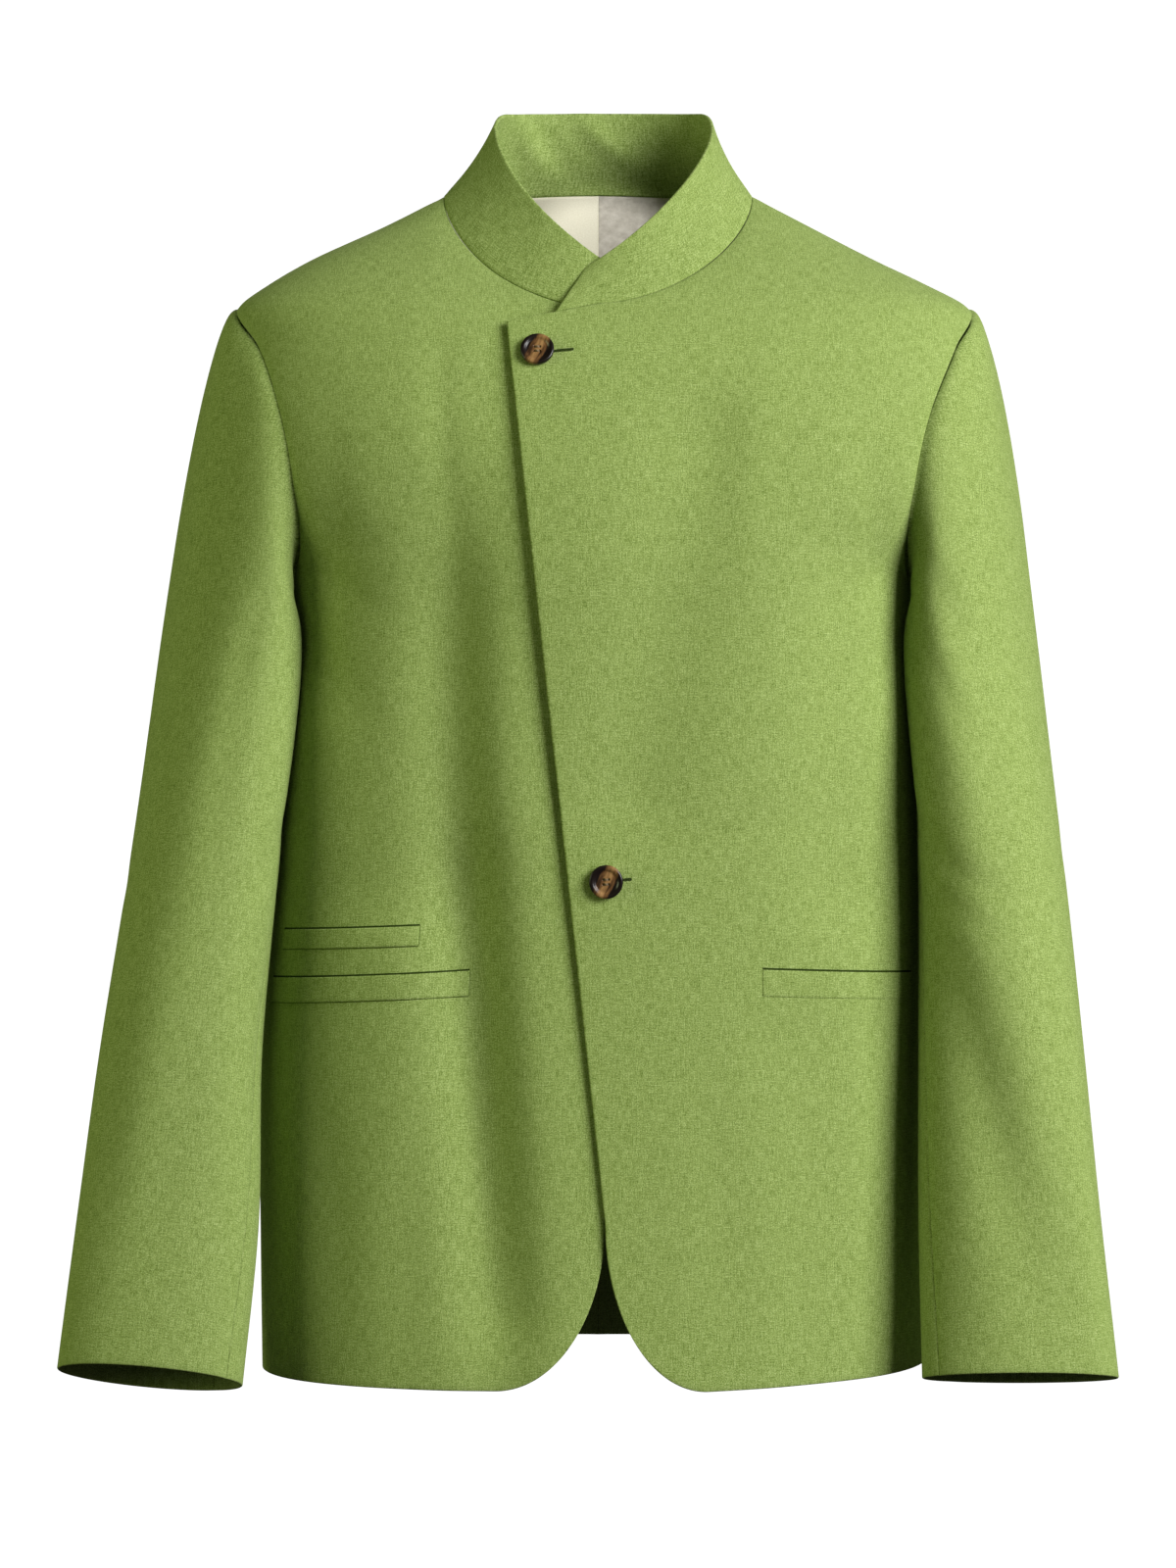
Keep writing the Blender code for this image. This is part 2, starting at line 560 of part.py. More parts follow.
def collar_stops(side):
    """Places of half the collar's divisions: those of the neckline it is sewn to, then its end."""
    half = body_width(side, NECK_SIDE_Z)

    def plan_turns(places):
        return np.arccos(np.clip(np.abs(body_point(side, *places.T)[:, 0]) / half, 0, 1))

    front_start = FRONT_ROWS.low + FRONT_ROWS.edge + FRONT_ROWS.lap
    front = plan_turns(front_places(side, FRONT_COLUMNS, FRONT_ROWS)[front_start:, 0])
    back = plan_turns(back_places(side, BACK_COLUMNS, BACK_ROWS)[BACK_ROWS.low + BACK_ROWS.edge :, 0])
    ahead = front[::-1] / math.acos(COLLAR_END_BASE_X / half)
    behind = COLLAR_SIDE_SHARE * (1 - back / QUARTER)
    return np.concatenate([behind, COLLAR_SIDE_SHARE + (1 - COLLAR_SIDE_SHARE) * ahead[1:], [1]])


def make_collar():
    place = np.concatenate([-collar_stops(RIGHT)[:0:-1], collar_stops(LEFT)[1:]])
    up = np.linspace(COLLAR_SEAM_GAP / COLLAR_LEAST_HEIGHT, 1, COLLAR_ROWS + 1)
    shell("collar", collar(*grid(place, up)), COLLAR_WALL, "wool_green")


def make_lining():
    """Lining halves on the back's own points, moved in, short of the collar at the neckline."""
    first = BACK_ROWS.low + LINING_FIRST_ROW
    for side, name in SIDE_NAMES.items():
        places = back_places(side, BACK_COLUMNS, BACK_ROWS)[first:-1, : LINING_COLUMNS + 1]
        points, normals = panel(side, places[..., 0], places[..., 1])
        at_neck = slice(BACK_ROWS.edge - LINING_FIRST_ROW, None)
        points[at_neck, 0] += unit(points[at_neck, 1] - points[at_neck, 0]) * LINING_TOP_INSET
        colour = "lining_cream" if side == RIGHT else "lining_grey"
        shell("neck_lining_" + name, (points, normals), LINING_WALL, colour, -BODY_WALL - LINING_GAP)


def make_welts():
    for welt in WELTS:
        ends = angle_at(welt.side, np.array([welt.inner_x, welt.outer_x]), np.full(2, welt.top_z))
        along = np.linspace(*ends, WELT_DIVISIONS[0] + 1)
        angle, drop = grid(along, np.linspace(0, welt.height, WELT_DIVISIONS[1] + 1))
        across = np.abs(body_point(welt.side, angle, np.full(angle.shape, welt.top_z))[..., 0])
        height = welt.top_z - drop - welt.fall * (across - welt.inner_x)
        surface = panel(welt.side, angle, height)
        shell(welt.name, surface, WELT_WALL, "wool_green", WELT_GAP + WELT_WALL)


def turned(name, profile, steps, collection):
    """Object turned from a profile of (radius, height) points."""
    data = bpy.data.meshes.new(name)
    points = [(radius, 0, height) for radius, height in profile]
    data.from_pydata(points, [(k, k + 1) for k in range(len(points) - 1)], [])
    turn = bpy.data.objects.new(name, data)
    collection.objects.link(turn)
    screw = turn.modifiers.new("turn", "SCREW")
    screw.steps = screw.render_steps = steps
    screw.use_merge_vertices = True
    screw.merge_threshold = 1e-6
    screw.use_normal_calculate = True
    return turn


def hole_cutter(name, placed):
    """Four round pins that cut a button's thread holes."""
    mesh = bmesh.new()
    for across in (-1, 1):
        for up in (-1, 1):
            pin = bmesh.ops.create_cone(mesh, cap_ends=True, segments=HOLE_STEPS, radius1=HOLE_RADIUS,
                                        radius2=HOLE_RADIUS, depth=HOLE_PIN_LENGTH)
            shift = Vector((across * HOLE_SPACING / 2, up * HOLE_SPACING / 2, HOLE_PIN_MIDDLE))
            bmesh.ops.translate(mesh, verts=pin["verts"], vec=shift)
    data = bpy.data.meshes.new(name)
    mesh.to_mesh(data)
    mesh.free()
    cutter = bpy.data.objects.new(name, data)
    cutters.objects.link(cutter)
    cutter.matrix_world = placed
    cutter.hide_render = True
    cutter.display_type = "WIRE"
    return cutter


def make_buttons():
    for place in BUTTONS:
        height = np.array([place.z])
        points, normals = panel(LEFT, angle_at(LEFT, np.array([place.x]), height), height)
        outward = Vector(normals[0])
        placed = outward.to_track_quat("Z", "Y").to_matrix().to_4x4()
        placed.translation = Vector(points[0]) + outward * place.gap
        profile = [(BUTTON_RADIUS * radius, height) for radius, height in BUTTON_PROFILE]
        button = turned(place.name, profile, BUTTON_STEPS, parts)
        button.matrix_world = placed
        cut = button.modifiers.new("thread_holes", "BOOLEAN")
        cut.operation = "DIFFERENCE"
        cut.solver = "EXACT"
        cut.object = hole_cutter(place.name + "_holes", placed)
        button.data.materials.append(materials["horn_brown"])
        button.parent = root


def make_material(name, colour, roughness):
    material = bpy.data.materials.new(name)
    material.use_nodes = True
    shader = material.node_tree.nodes["Principled BSDF"]
    shader.inputs["Base Color"].default_value = (*colour, 1)
    shader.inputs["Roughness"].default_value = roughness
    shader.inputs["Metallic"].default_value = 0
    return material


for stale in list(bpy.data.objects):
    bpy.data.objects.remove(stale, do_unlink=True)
bpy.context.scene.unit_settings.system = "METRIC"
parts = bpy.data.collections.new("Mandarin_collar_blazer")
cutters = bpy.data.collections.new("Cutters")
bpy.context.scene.collection.children.link(parts)
bpy.context.scene.collection.children.link(cutters)
root = bpy.data.objects.new("blazer", None)
parts.objects.link(root)
materials = {name: make_material(name, *look) for name, look in MATERIALS.items()}

make_fronts_and_backs()
make_sleeves()
make_collar()
make_lining()
make_welts()
make_buttons()
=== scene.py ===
"""Looks of the mandarin collar blazer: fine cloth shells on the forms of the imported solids.

Metres, +Z up; the front faces -Y and the wearer's left is +X. The shells repeat the part's own sections and
rings at a finer division, with rounded rims, turned seams and the smaller creases, and stand for its nodes.
A place on one side of the body is given by its distance from the middle, counted towards that side.
"""

import math
from collections import namedtuple

import bmesh
import bpy
import numpy as np
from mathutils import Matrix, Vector


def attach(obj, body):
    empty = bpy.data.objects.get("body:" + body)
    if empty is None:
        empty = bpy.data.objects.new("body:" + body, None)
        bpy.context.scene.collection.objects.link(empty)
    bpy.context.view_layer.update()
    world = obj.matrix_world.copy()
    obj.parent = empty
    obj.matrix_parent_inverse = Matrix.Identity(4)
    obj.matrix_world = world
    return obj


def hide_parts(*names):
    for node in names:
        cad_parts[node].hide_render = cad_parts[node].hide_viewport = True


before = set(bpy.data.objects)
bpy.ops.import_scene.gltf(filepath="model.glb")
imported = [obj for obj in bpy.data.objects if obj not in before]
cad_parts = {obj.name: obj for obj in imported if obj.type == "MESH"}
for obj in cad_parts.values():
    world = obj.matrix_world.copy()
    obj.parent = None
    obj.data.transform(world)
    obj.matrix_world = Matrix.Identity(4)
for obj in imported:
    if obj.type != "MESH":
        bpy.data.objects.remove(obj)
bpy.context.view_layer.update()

LEFT, RIGHT = 1, -1
SIDE_NAMES = {LEFT: "left", RIGHT: "right"}
QUARTER = math.pi / 2
LEAST_LENGTH, LEAST_SLOPE, AT_SEAM = 1e-12, 1e-6, 1e-6

# Walls and seams; a gap below zero is an overlap
BODY_WALL = 0.0020
SLEEVE_WALL = 0.0018
COLLAR_WALL = 0.0024
LINING_WALL = 0.0010
WELT_WALL = 0.0011
SEAM_GAP = -0.00004
SEAM_REACH = 0.00035
SEAM_DIP, SEAM_DIP_WIDTH = 0.0006, 0.0045
RIM_ROOM_SHARE = 0.45
FREE = 10**6  # past the end of every edge, so none of it is sewn
BODY_REACH, ARMHOLE_REACH, SLEEVE_REACH = 0.15, 0.13, 0.05
COLLAR_SEAM_GAP = -0.0001
NECK_DIP = 0.0003
LINING_GAP = 0.0005
WELT_RISES = {LEFT: 0.0004, RIGHT: 0.0009}

# Body: level sections from the hem to the neck
SQUARENESS = 0.12
BodyRow = namedtuple("BodyRow", "z right_width left_width front_depth back_depth")
BODY = (
    BodyRow(-0.735, 0.2055, 0.202, 0.121, 0.121),
    BodyRow(-0.640, 0.2068, 0.201, 0.118, 0.117),
    BodyRow(-0.520, 0.207, 0.199, 0.117, 0.107),
    BodyRow(-0.430, 0.200, 0.1985, 0.118, 0.101),
    BodyRow(-0.340, 0.194, 0.1970, 0.122, 0.107),
    BodyRow(-0.260, 0.188, 0.1925, 0.126, 0.116),
    BodyRow(-0.235, 0.192, 0.1950, 0.127, 0.118),
    BodyRow(-0.210, 0.202, 0.208, 0.126, 0.119),
    BodyRow(-0.180, 0.216, 0.223, 0.123, 0.119),
    BodyRow(-0.140, 0.225, 0.234, 0.115, 0.115),
    BodyRow(-0.100, 0.224, 0.235, 0.101, 0.106),
    BodyRow(-0.072, 0.221, 0.226, 0.085, 0.097),
    BodyRow(-0.058, 0.202, 0.200, 0.073, 0.091),
    BodyRow(-0.045, 0.180, 0.173, 0.061, 0.085),
    BodyRow(-0.021, 0.129, 0.127, 0.037, 0.073),
    BodyRow(-0.003, 0.095, 0.094, 0.021, 0.063),
    BodyRow(0.008, 0.076, 0.076, 0.014, 0.057),
)

# Hem, armholes and neckline
HEM_Z = -0.7210
HEM_SIDE_RISE = {LEFT: 0.0095, RIGHT: 0.0020}
HEM_BACK_RISE = 0.0078
ARMHOLE_TOP_Z = -0.072
ARMHOLE_LOW_Z = -0.248
ARMHOLE_FRONT_ANGLE = math.radians(36)
ARMHOLE_BACK_ANGLE = math.radians(38)
NECK_SIDE_Z = -0.003
NECK_DROP = 0.074
NECK_POWER = 1.75
NECK_BACK_RISE = 0.008

# Front edges: the left front laps over the right one and both swing away at the hem
EDGE_TOP_X = {LEFT: -0.055, RIGHT: -0.060}
EDGE_LOW_X = {LEFT: 0.0035, RIGHT: -0.0035}
EDGE_LOW_Z = -0.622
CUTAWAY_WIDTH = {LEFT: 0.060, RIGHT: 0.066}
LAP_SLOPE = 0.20
LAP_SINK = 0.0034
LAP_HOLLOW = 0.0020
LAP_HOLLOW_Z = -0.300
LAP_HOLLOW_SPREAD = 0.160
LAP_RAMP = 0.045
LAP_MARGIN = -0.001

# Collar: a stand band, tall behind and low at its lapped ends
COLLAR_TOP_HALF = 0.067
COLLAR_TOP_FRONT = 0.076
COLLAR_TOP_BACK = 0.053
COLLAR_TOP_SIDE_Z = 0.040
COLLAR_TOP_CORNER_RISE = 0.0078
COLLAR_TOP_BACK_RISE = 0.0065
COLLAR_TOP_DROP = 0.087
COLLAR_TOP_STRAIGHT = 0.52
COLLAR_TOP_CORNER_ANGLE = 0.45
COLLAR_TOP_SHIFT = 0.0031
COLLAR_END_BASE_X = -0.026
COLLAR_END_TOP_X = -0.011
COLLAR_SIDE_SHARE = 0.40
COLLAR_BULGE = -0.0026
COLLAR_LAP_LEAN = 1.4
COLLAR_LEAST_HEIGHT = 0.030
COLLAR_REACH = 0.20

# Sleeves: rings from the upper arm to the cuff, the forearm swung forward
SleeveRow = namedtuple("SleeveRow", "z inner_x outer_x centre_y half_depth turn tilt roll")
SLEEVES = {
    RIGHT: (
        SleeveRow(-0.275, 0.1838, 0.2706, -0.012, 0.074, 25, 0, 2),
        SleeveRow(-0.350, 0.1890, 0.2776, -0.030, 0.068, 22, 3, 3),
        SleeveRow(-0.430, 0.1945, 0.2866, -0.046, 0.062, 20, 8, 4),
        SleeveRow(-0.520, 0.2020, 0.2986, -0.060, 0.054, 15, 13, 5),
        SleeveRow(-0.620, 0.2035, 0.3106, -0.072, 0.043, 8, 16, 5),
        SleeveRow(-0.716, 0.2120, 0.3224, -0.086, 0.033, 0, 18, 5),
    ),
    LEFT: (
        SleeveRow(-0.275, 0.1885, 0.2709, -0.012, 0.074, 23, 0, 1),
        SleeveRow(-0.350, 0.1920, 0.2762, -0.033, 0.068, 20, 3, 1),
        SleeveRow(-0.430, 0.1920, 0.2833, -0.047, 0.062, 18, 7, 1),
        SleeveRow(-0.520, 0.1915, 0.2906, -0.061, 0.054, 14, 11, 0),
        SleeveRow(-0.620, 0.1908, 0.2988, -0.076, 0.043, 8, 12, 0),
        SleeveRow(-0.716, 0.1918, 0.3087, -0.090, 0.033, 0, 12, 0),
    ),
}
CAP_ROUNDNESS = {LEFT: 0.48, RIGHT: 0.54}
CAP_SWELL = 0.022
CAP_CROWDING = 1.7
SEAM_FOLLOW_FROM, SEAM_FOLLOW_SPAN = 0.1, 0.5
SEAM_TURN = math.pi / 16
FRONT_SEAM_STEP, BACK_SEAM_STEP = 2, 5
RING_TWIST = math.radians(9)

# Largest soft folds of the fronts, as in the solids: troughs, or ridges where the depth is below zero
Fold = namedtuple("Fold", "start_x start_z end_x end_z width depth")
FOLDS = {
    LEFT: (
        (0.062, -0.165, 0.022, -0.365, 0.034, 0.0070),
        (0.150, -0.230, 0.140, -0.420, 0.028, 0.0040),
        (0.120, -0.520, 0.135, -0.715, 0.030, 0.0030),
    ),
    RIGHT: (
        (0.078, -0.420, 0.058, -0.670, 0.025, 0.0045),
        (0.148, -0.230, 0.138, -0.420, 0.028, 0.0040),
        (0.112, -0.200, 0.098, -0.430, 0.030, 0.0040),
    ),
}

# Smaller creases of each piece. On the body u is the distance from the middle and v the height, on a
# sleeve u runs round the arm from its inner line, and on the collar u runs round the neck and v up the band.
Crease = namedtuple("Crease", "start_u start_v end_u end_v bow width depth")
CREASES = {
    "front_left": (
        (0.158, -0.150, 0.166, -0.290, 0.004, 0.011, 0.0018),
        (0.186, -0.215, 0.128, -0.262, 0.006, 0.010, 0.0014),
        (0.184, -0.262, 0.118, -0.330, 0.007, 0.012, 0.0012),
        (0.100, -0.110, 0.086, -0.230, -0.005, 0.014, -0.0016),
        (0.050, -0.400, 0.150, -0.385, 0.006, 0.012, 0.0009),
        (0.064, -0.545, 0.074, -0.700, 0.004, 0.016, 0.0016),
        (0.176, -0.520, 0.168, -0.690, 0.005, 0.013, 0.0014),
    ),
    "front_right": (
        (0.092, -0.070, 0.088, -0.210, 0.004, 0.010, 0.0020),
        (0.160, -0.150, 0.164, -0.280, -0.004, 0.012, 0.0016),
        (0.184, -0.212, 0.126, -0.262, 0.006, 0.010, 0.0015),
        (0.180, -0.262, 0.130, -0.330, 0.005, 0.013, 0.0012),
        (0.080, -0.150, 0.092, -0.340, 0.000, 0.026, 0.0080),
        (0.088, -0.270, 0.060, -0.710, 0.004, 0.023, 0.0150),
        (0.062, -0.0835, 0.024, -0.0760, 0.000, 0.0060, 0.0026),
        (0.100, -0.540, 0.112, -0.705, 0.005, 0.015, 0.0018),
        (0.166, -0.545, 0.158, -0.690, -0.004, 0.013, 0.0014),
    ),
    "back_left": (
        (0.148, -0.120, 0.092, -0.290, 0.010, 0.016, 0.0022),
        (0.024, -0.060, 0.040, -0.190, 0.005, 0.014, 0.0014),
        (0.168, -0.300, 0.060, -0.400, 0.008, 0.014, 0.0018),
        (0.150, -0.420, 0.036, -0.445, -0.006, 0.012, 0.0012),
        (0.080, -0.520, 0.094, -0.705, 0.006, 0.018, 0.0022),
        (0.150, -0.560, 0.142, -0.690, 0.004, 0.014, 0.0014),
    ),
    "back_right": (
        (0.152, -0.130, 0.086, -0.280, 0.008, 0.015, 0.0020),
        (0.030, -0.075, 0.046, -0.220, -0.005, 0.015, 0.0015),
        (0.172, -0.315, 0.072, -0.388, 0.007, 0.013, 0.0016),
        (0.140, -0.436, 0.030, -0.452, 0.006, 0.012, 0.0013),
        (0.064, -0.500, 0.076, -0.710, -0.006, 0.017, 0.0021),
        (0.128, -0.590, 0.134, -0.700, 0.004, 0.013, 0.0013),
    ),
    "sleeve_left": (
        (0.026, -0.195, 0.030, -0.390, 0.000, 0.023, -0.0062),
        (0.058, -0.225, 0.102, -0.300, 0.006, 0.012, 0.0016),
        (0.056, -0.285, 0.088, -0.350, 0.005, 0.012, 0.0014),
        (0.030, -0.385, 0.098, -0.430, -0.007, 0.011, 0.0020),
        (0.034, -0.430, 0.084, -0.452, 0.005, 0.009, 0.0014),
        (0.098, -0.300, 0.092, -0.420, 0.004, 0.013, 0.0016),
        (0.046, -0.450, 0.086, -0.690, 0.004, 0.022, 0.0070),
        (0.112, -0.520, 0.104, -0.690, -0.004, 0.013, 0.0013),
        (0.190, -0.240, 0.205, -0.380, 0.006, 0.015, 0.0018),
        (0.180, -0.410, 0.235, -0.440, 0.005, 0.011, 0.0016),
        (0.205, -0.500, 0.195, -0.650, -0.005, 0.014, 0.0015),
    ),
    "sleeve_right": (
        (0.026, -0.195, 0.030, -0.390, 0.000, 0.023, -0.0062),
        (0.058, -0.230, 0.096, -0.310, 0.006, 0.012, 0.0015),
        (0.054, -0.290, 0.084, -0.345, 0.004, 0.011, 0.0012),
        (0.086, -0.250, 0.082, -0.420, 0.004, 0.013, 0.0020),
        (0.030, -0.395, 0.092, -0.445, -0.006, 0.011, 0.0019),
        (0.060, -0.455, 0.110, -0.470, 0.005, 0.010, 0.0012),
        (0.074, -0.490, 0.082, -0.670, -0.004, 0.014, 0.0017),
        (0.118, -0.470, 0.108, -0.640, 0.005, 0.014, 0.0014),
        (0.196, -0.230, 0.186, -0.370, 0.006, 0.015, 0.0018),
        (0.172, -0.425, 0.232, -0.448, -0.005, 0.011, 0.0015),
        (0.188, -0.520, 0.200, -0.660, 0.005, 0.014, 0.0014),
    ),
    "collar": (
        (-0.052, 0.029, -0.020, 0.009, 0.001, 0.0050, 0.0030),
        (-0.012, 0.029, 0.012, 0.013, -0.001, 0.0045, 0.0026),
        (-0.034, 0.024, -0.010, 0.006, 0.001, 0.0045, -0.0014),
        (0.030, 0.026, 0.052, 0.008, 0.001, 0.0050, 0.0016),
        (-0.150, 0.024, -0.110, 0.010, 0.001, 0.0090, 0.0003),
        (0.120, 0.022, 0.160, 0.009, -0.001, 0.0060, 0.0008),
    ),
}
CREASE_END_SHARE, CREASE_END_REACH = 0.35, 2
CREASE_FREE_SHARE = 0.25

# Pocket welts: strips laid on the fronts
Welt = namedtuple("Welt", "name side inner_x outer_x top_z height fall")
WELTS = (
    Welt("pocket_welt_right", RIGHT, 0.080, 0.196, -0.4738, 0.0150, 0.050),
    Welt("ticket_welt_right", RIGHT, 0.108, 0.189, -0.4470, 0.0118, 0.042),
    Welt("pocket_welt_left", LEFT, 0.0965, 0.188, -0.4725, 0.0160, 0.040),
)

# Neck lining: its first row on the back, its share of the back's columns, and the rows
# that it leaves free at the shoulder seam
LINING_FIRST_SHARE, LINING_WIDTH_SHARE = 0.60, 0.50
LINING_SHORT_ROWS = 4

# Buttons
Button = namedtuple("Button", "name x z gap")
BUTTONS = (
    Button("button_top", -0.0365, -0.1070, 0.0001),
    Button("button_lower", 0.0040, -0.4205, 0.0007),
)
BUTTON_RADIUS = 0.0100
BUTTON_PROFILE = (
    (0.00, 0.0028),
    (0.40, 0.0028),
    (0.62, 0.0028),
    (0.75, 0.0037),
    (0.88, 0.0040),
    (0.98, 0.0035),
    (1.00, 0.0024),
    (0.97, 0.0010),
    (0.86, 0.0003),
    (0.60, 0.0000),
    (0.00, 0.0000),
)
BUTTON_FACE, BUTTON_RINGS, BUTTON_STEPS = 0.0028, 51, 72
HOLE_RADIUS, HOLE_SPACING, HOLE_STEPS, HOLE_PIN_LENGTH = 0.0008, 0.0028, 20, 0.02
BUTTON_THREAD_RADIUS, BUTTON_THREAD_POINTS = 0.0003, 9
BUTTON_THREAD_RISE, BUTTON_THREAD_SINK = 0.0007, 0.0012

# Buttonholes: a slit with stitches across its edges
Buttonhole = namedtuple("Buttonhole", "name start_x end_x z slope")
BUTTONHOLES = (
    Buttonhole("buttonhole_top", -0.0300, -0.0158, -0.1074, 0.10),
    Buttonhole("buttonhole_lower", 0.0070, 0.0184, -0.4202, 0.10),
)
STITCH_STEP, STITCH_LENGTH, STITCH_UNEVEN = 0.0005, 0.0006, 0.12
STITCH_RADIUS, STITCH_LIFT, STITCH_LIFT_FROM = 0.00015, 0.00025, 0.15
STITCH_WAVE, STITCH_POINTS, FAN_STITCHES = 7.0, 7, 5
SLIT_HALF, SLIT_LIFT, SLIT_POINTS = 0.00028, 0.0002, 3
THREAD_SIDES, THREAD_UPRIGHT = 6, 0.9

# Pocket lines, strips of painted shade: the dark shade in the mouth above each welt, the thinner shade line
# of the seam below it and of its inner end; the left welt has only the mouth
MOUTH_WIDTH, WELT_SEAM_WIDTH, WELT_END_WIDTH = 0.0011, 0.0005, 0.0004
LINES_LEFT_OUT = ("pocket_welt_left_seam", "pocket_welt_left_end")
MOUTH_TUCK, MOUTH_RISE, MOUTH_WALL, MOUTH_DIVISIONS = 0.0003, 0.0002, 0.0003, (60, 2)

# Cuts: record of a cloth piece's flat size and area before sewing; no cut is listed for any piece
Cut = namedtuple("Cut", "piece width length area held rests_on")

# Tones of the materials, as (position, linear colour)
WOOL_TONES = ((0.38, (0.102, 0.158, 0.024)), (0.50, (0.246, 0.332, 0.086)), (0.62, (0.425, 0.520, 0.200)))
CREAM_TONES = ((0.30, (0.74, 0.69, 0.52)), (0.70, (0.87, 0.83, 0.67)))
GREY_TONES = ((0.35, (0.40, 0.36, 0.29)), (0.65, (0.62, 0.58, 0.50)))
HORN_TONES = (
    (0.00, (0.005, 0.003, 0.003)),
    (0.35, (0.010, 0.006, 0.005)),
    (0.42, (0.130, 0.062, 0.022)),
    (0.52, (0.330, 0.185, 0.070)),
    (0.60, (0.150, 0.072, 0.026)),
    (0.67, (0.008, 0.005, 0.004)),
)
# Painted shade of the pocket mouths and the buttonhole slits
OPENING_SHADE_TONES = ((0.3, (0.012, 0.024, 0.002)), (0.7, (0.034, 0.056, 0.006)))
# Painted shade of the welts' lower seams and inner ends
WELT_SEAM_SHADE_TONES = ((0.3, (0.060, 0.096, 0.014)), (0.7, (0.120, 0.170, 0.035)))
THREAD_TONES = ((0.3, (0.030, 0.048, 0.010)), (0.7, (0.075, 0.110, 0.028)))
BUTTON_THREAD_TONES = ((0.3, (0.12, 0.08, 0.04)), (0.7, (0.30, 0.23, 0.14)))

# Surfaces: values of the shader's own sockets
WOOL_SURFACE = {
    "Roughness": 0.95,
    "Specular IOR Level": 0.10,
    "Sheen Weight": 0.10,
    "Sheen Roughness": 0.5,
    "Sheen Tint": (0.80, 0.95, 0.50, 1),
}
LINING_SURFACE = {"Roughness": 0.5}
HORN_SURFACE = {"Roughness": 0.30, "Specular IOR Level": 0.25, "Coat Weight": 0.10, "Coat Roughness": 0.08}
THREAD_SURFACE = {"Roughness": 0.8, "Specular IOR Level": 0.10}
BACKDROP_SURFACE = {
    "Base Color": (0.9, 0.9, 0.9, 1),
    "Roughness": 1.0,
    "Emission Color": (1, 1, 1, 1),
    "Emission Strength": 1.0,
}

# Grains, counted per metre, the shares in which they are mixed, and bumps
Grain = namedtuple("Grain", "across along detail")
WOOL_FLECK, WOOL_STREAK = Grain(1400, 1250, 3), Grain(1300, 130, 2)
WOOL_SLUB, WOOL_CLOUD = Grain(150, 1400, 2), Grain(90, 60, 2)
LINING_WEAVE, CREAM_MOTTLE, GREY_MOTTLE = Grain(2500, 2500, 1), Grain(900, 900, 3), Grain(160, 160, 3)
HORN_STREAKS, THREAD_TWIST = Grain(520, 110, 4), Grain(5000, 5000, 1)
STREAK_SHARE, SLUB_SHARE, CLOUD_SHARE, WEAVE_SHARE, HORN_STREAK_SHARE = 0.30, 0.20, 0.04, 0.3, 0.35
GRAIN_ROUGHNESS = 0.6
HORN_BAND_TURN = math.radians(25)
Bump = namedtuple("Bump", "strength distance")
WOOL_BUMP, LINING_BUMP = Bump(0.45, 0.0006), Bump(0.2, 0.0003)
HORN_BUMP, THREAD_BUMP = Bump(0.05, 0.0003), Bump(0.3, 0.0002)

# Lights
Lamp = namedtuple("Lamp", "name place target size power colour")
LIGHTS = (
    Lamp("key", (2.5, -2.0, 0.85), (0.0, 0.0, -0.30), 1.8, 176, (1.0, 1.0, 1.0)),
    Lamp("back", (0.0, 3.4, 0.2), (0.0, 0.0, -0.40), 2.0, 90, (1.0, 1.0, 1.0)),
    Lamp("fill", (0.2, -3.3, 0.9), (0.0, 0.0, -0.30), 2.5, 4, (0.92, 1.0, 0.50)),
    Lamp("left", (-2.7, -1.0, 0.1), (-0.2, 0.0, -0.40), 1.5, 33, (0.92, 1.0, 0.55)),
)
WORLD_LIGHT = 0.04
DOME_RADIUS, DOME_SEGMENTS = 12.0, 48
NECK_LIGHT_PLACE, NECK_LIGHT_TARGET = (0.0, -0.04, -0.055), (0.0, 0.06, -0.040)
NECK_LIGHT_POWER, NECK_LIGHT_SIZE, NECK_LIGHT_BLEND = 0.43, 0.012, 0.4
NECK_LIGHT_CONE = math.radians(54)

# Camera: three metres in front, level
CAMERA_PLACE, CAMERA_SENSOR, CAMERA_LENS = (-0.0066, -3.0, -0.363), 24, 75

# How finely each piece is divided
PanelRows = namedtuple("PanelRows", "low edge lap neck")
FRONT_COLUMNS, FRONT_ROWS = 120, PanelRows(110, 42, 12, 34)
BACK_COLUMNS, BACK_ROWS = 60, PanelRows(110, 60, 0, 28)
SLEEVE_COLUMNS, SLEEVE_ROWS = 112, (44, 104)
COLLAR_COLUMNS, COLLAR_ROWS = 200, 22
WELT_DIVISIONS = (60, 8)
CURVE_POINTS, HEM_CORNER = 240, 128
ANGLE_SEARCH_STEPS = 8
RIM_STEPS, MAP_STEPS = 5, 20

# Rounding of the bend below the sleeve caps
SOFTEN_PASSES, SOFTEN_SPREAD = 60, 0.30

# Weave map: how it leans back over the shoulders
SHOULDER_LEAN, SHOULDER_LEAN_DEPTH = 0.7, 0.105
SHOULDER_LEAN_FROM, SHOULDER_LEAN_SPAN = -0.16, 0.10


def column(rows, name):
    """One named column of a table as an array."""
    return np.array([getattr(row, name) for row in rows])


def smooth(knots, values, at):
    """Cubic curve through the values at the knots, read at the given places."""
    slopes = np.gradient(values, knots)
    first = np.clip(np.searchsorted(knots, at) - 1, 0, len(knots) - 2)
    span = knots[first + 1] - knots[first]
    t = (at - knots[first]) / span
    start = (1 + 2 * t) * (1 - t) ** 2 * values[first] + t * (1 - t) ** 2 * span * slopes[first]
    end = t * t * (3 - 2 * t) * values[first + 1] + t * t * (t - 1) * span * slopes[first + 1]
    return start + end


def ease(t):
    """Soft step from 0 to 1."""
    t = np.clip(t, 0, 1)
    return t * t * (3 - 2 * t)


def unit(vectors):
    return vectors / np.maximum(np.linalg.norm(vectors, axis=-1, keepdims=True), LEAST_LENGTH)


def stacked(*columns):
    return np.stack(columns, axis=-1)


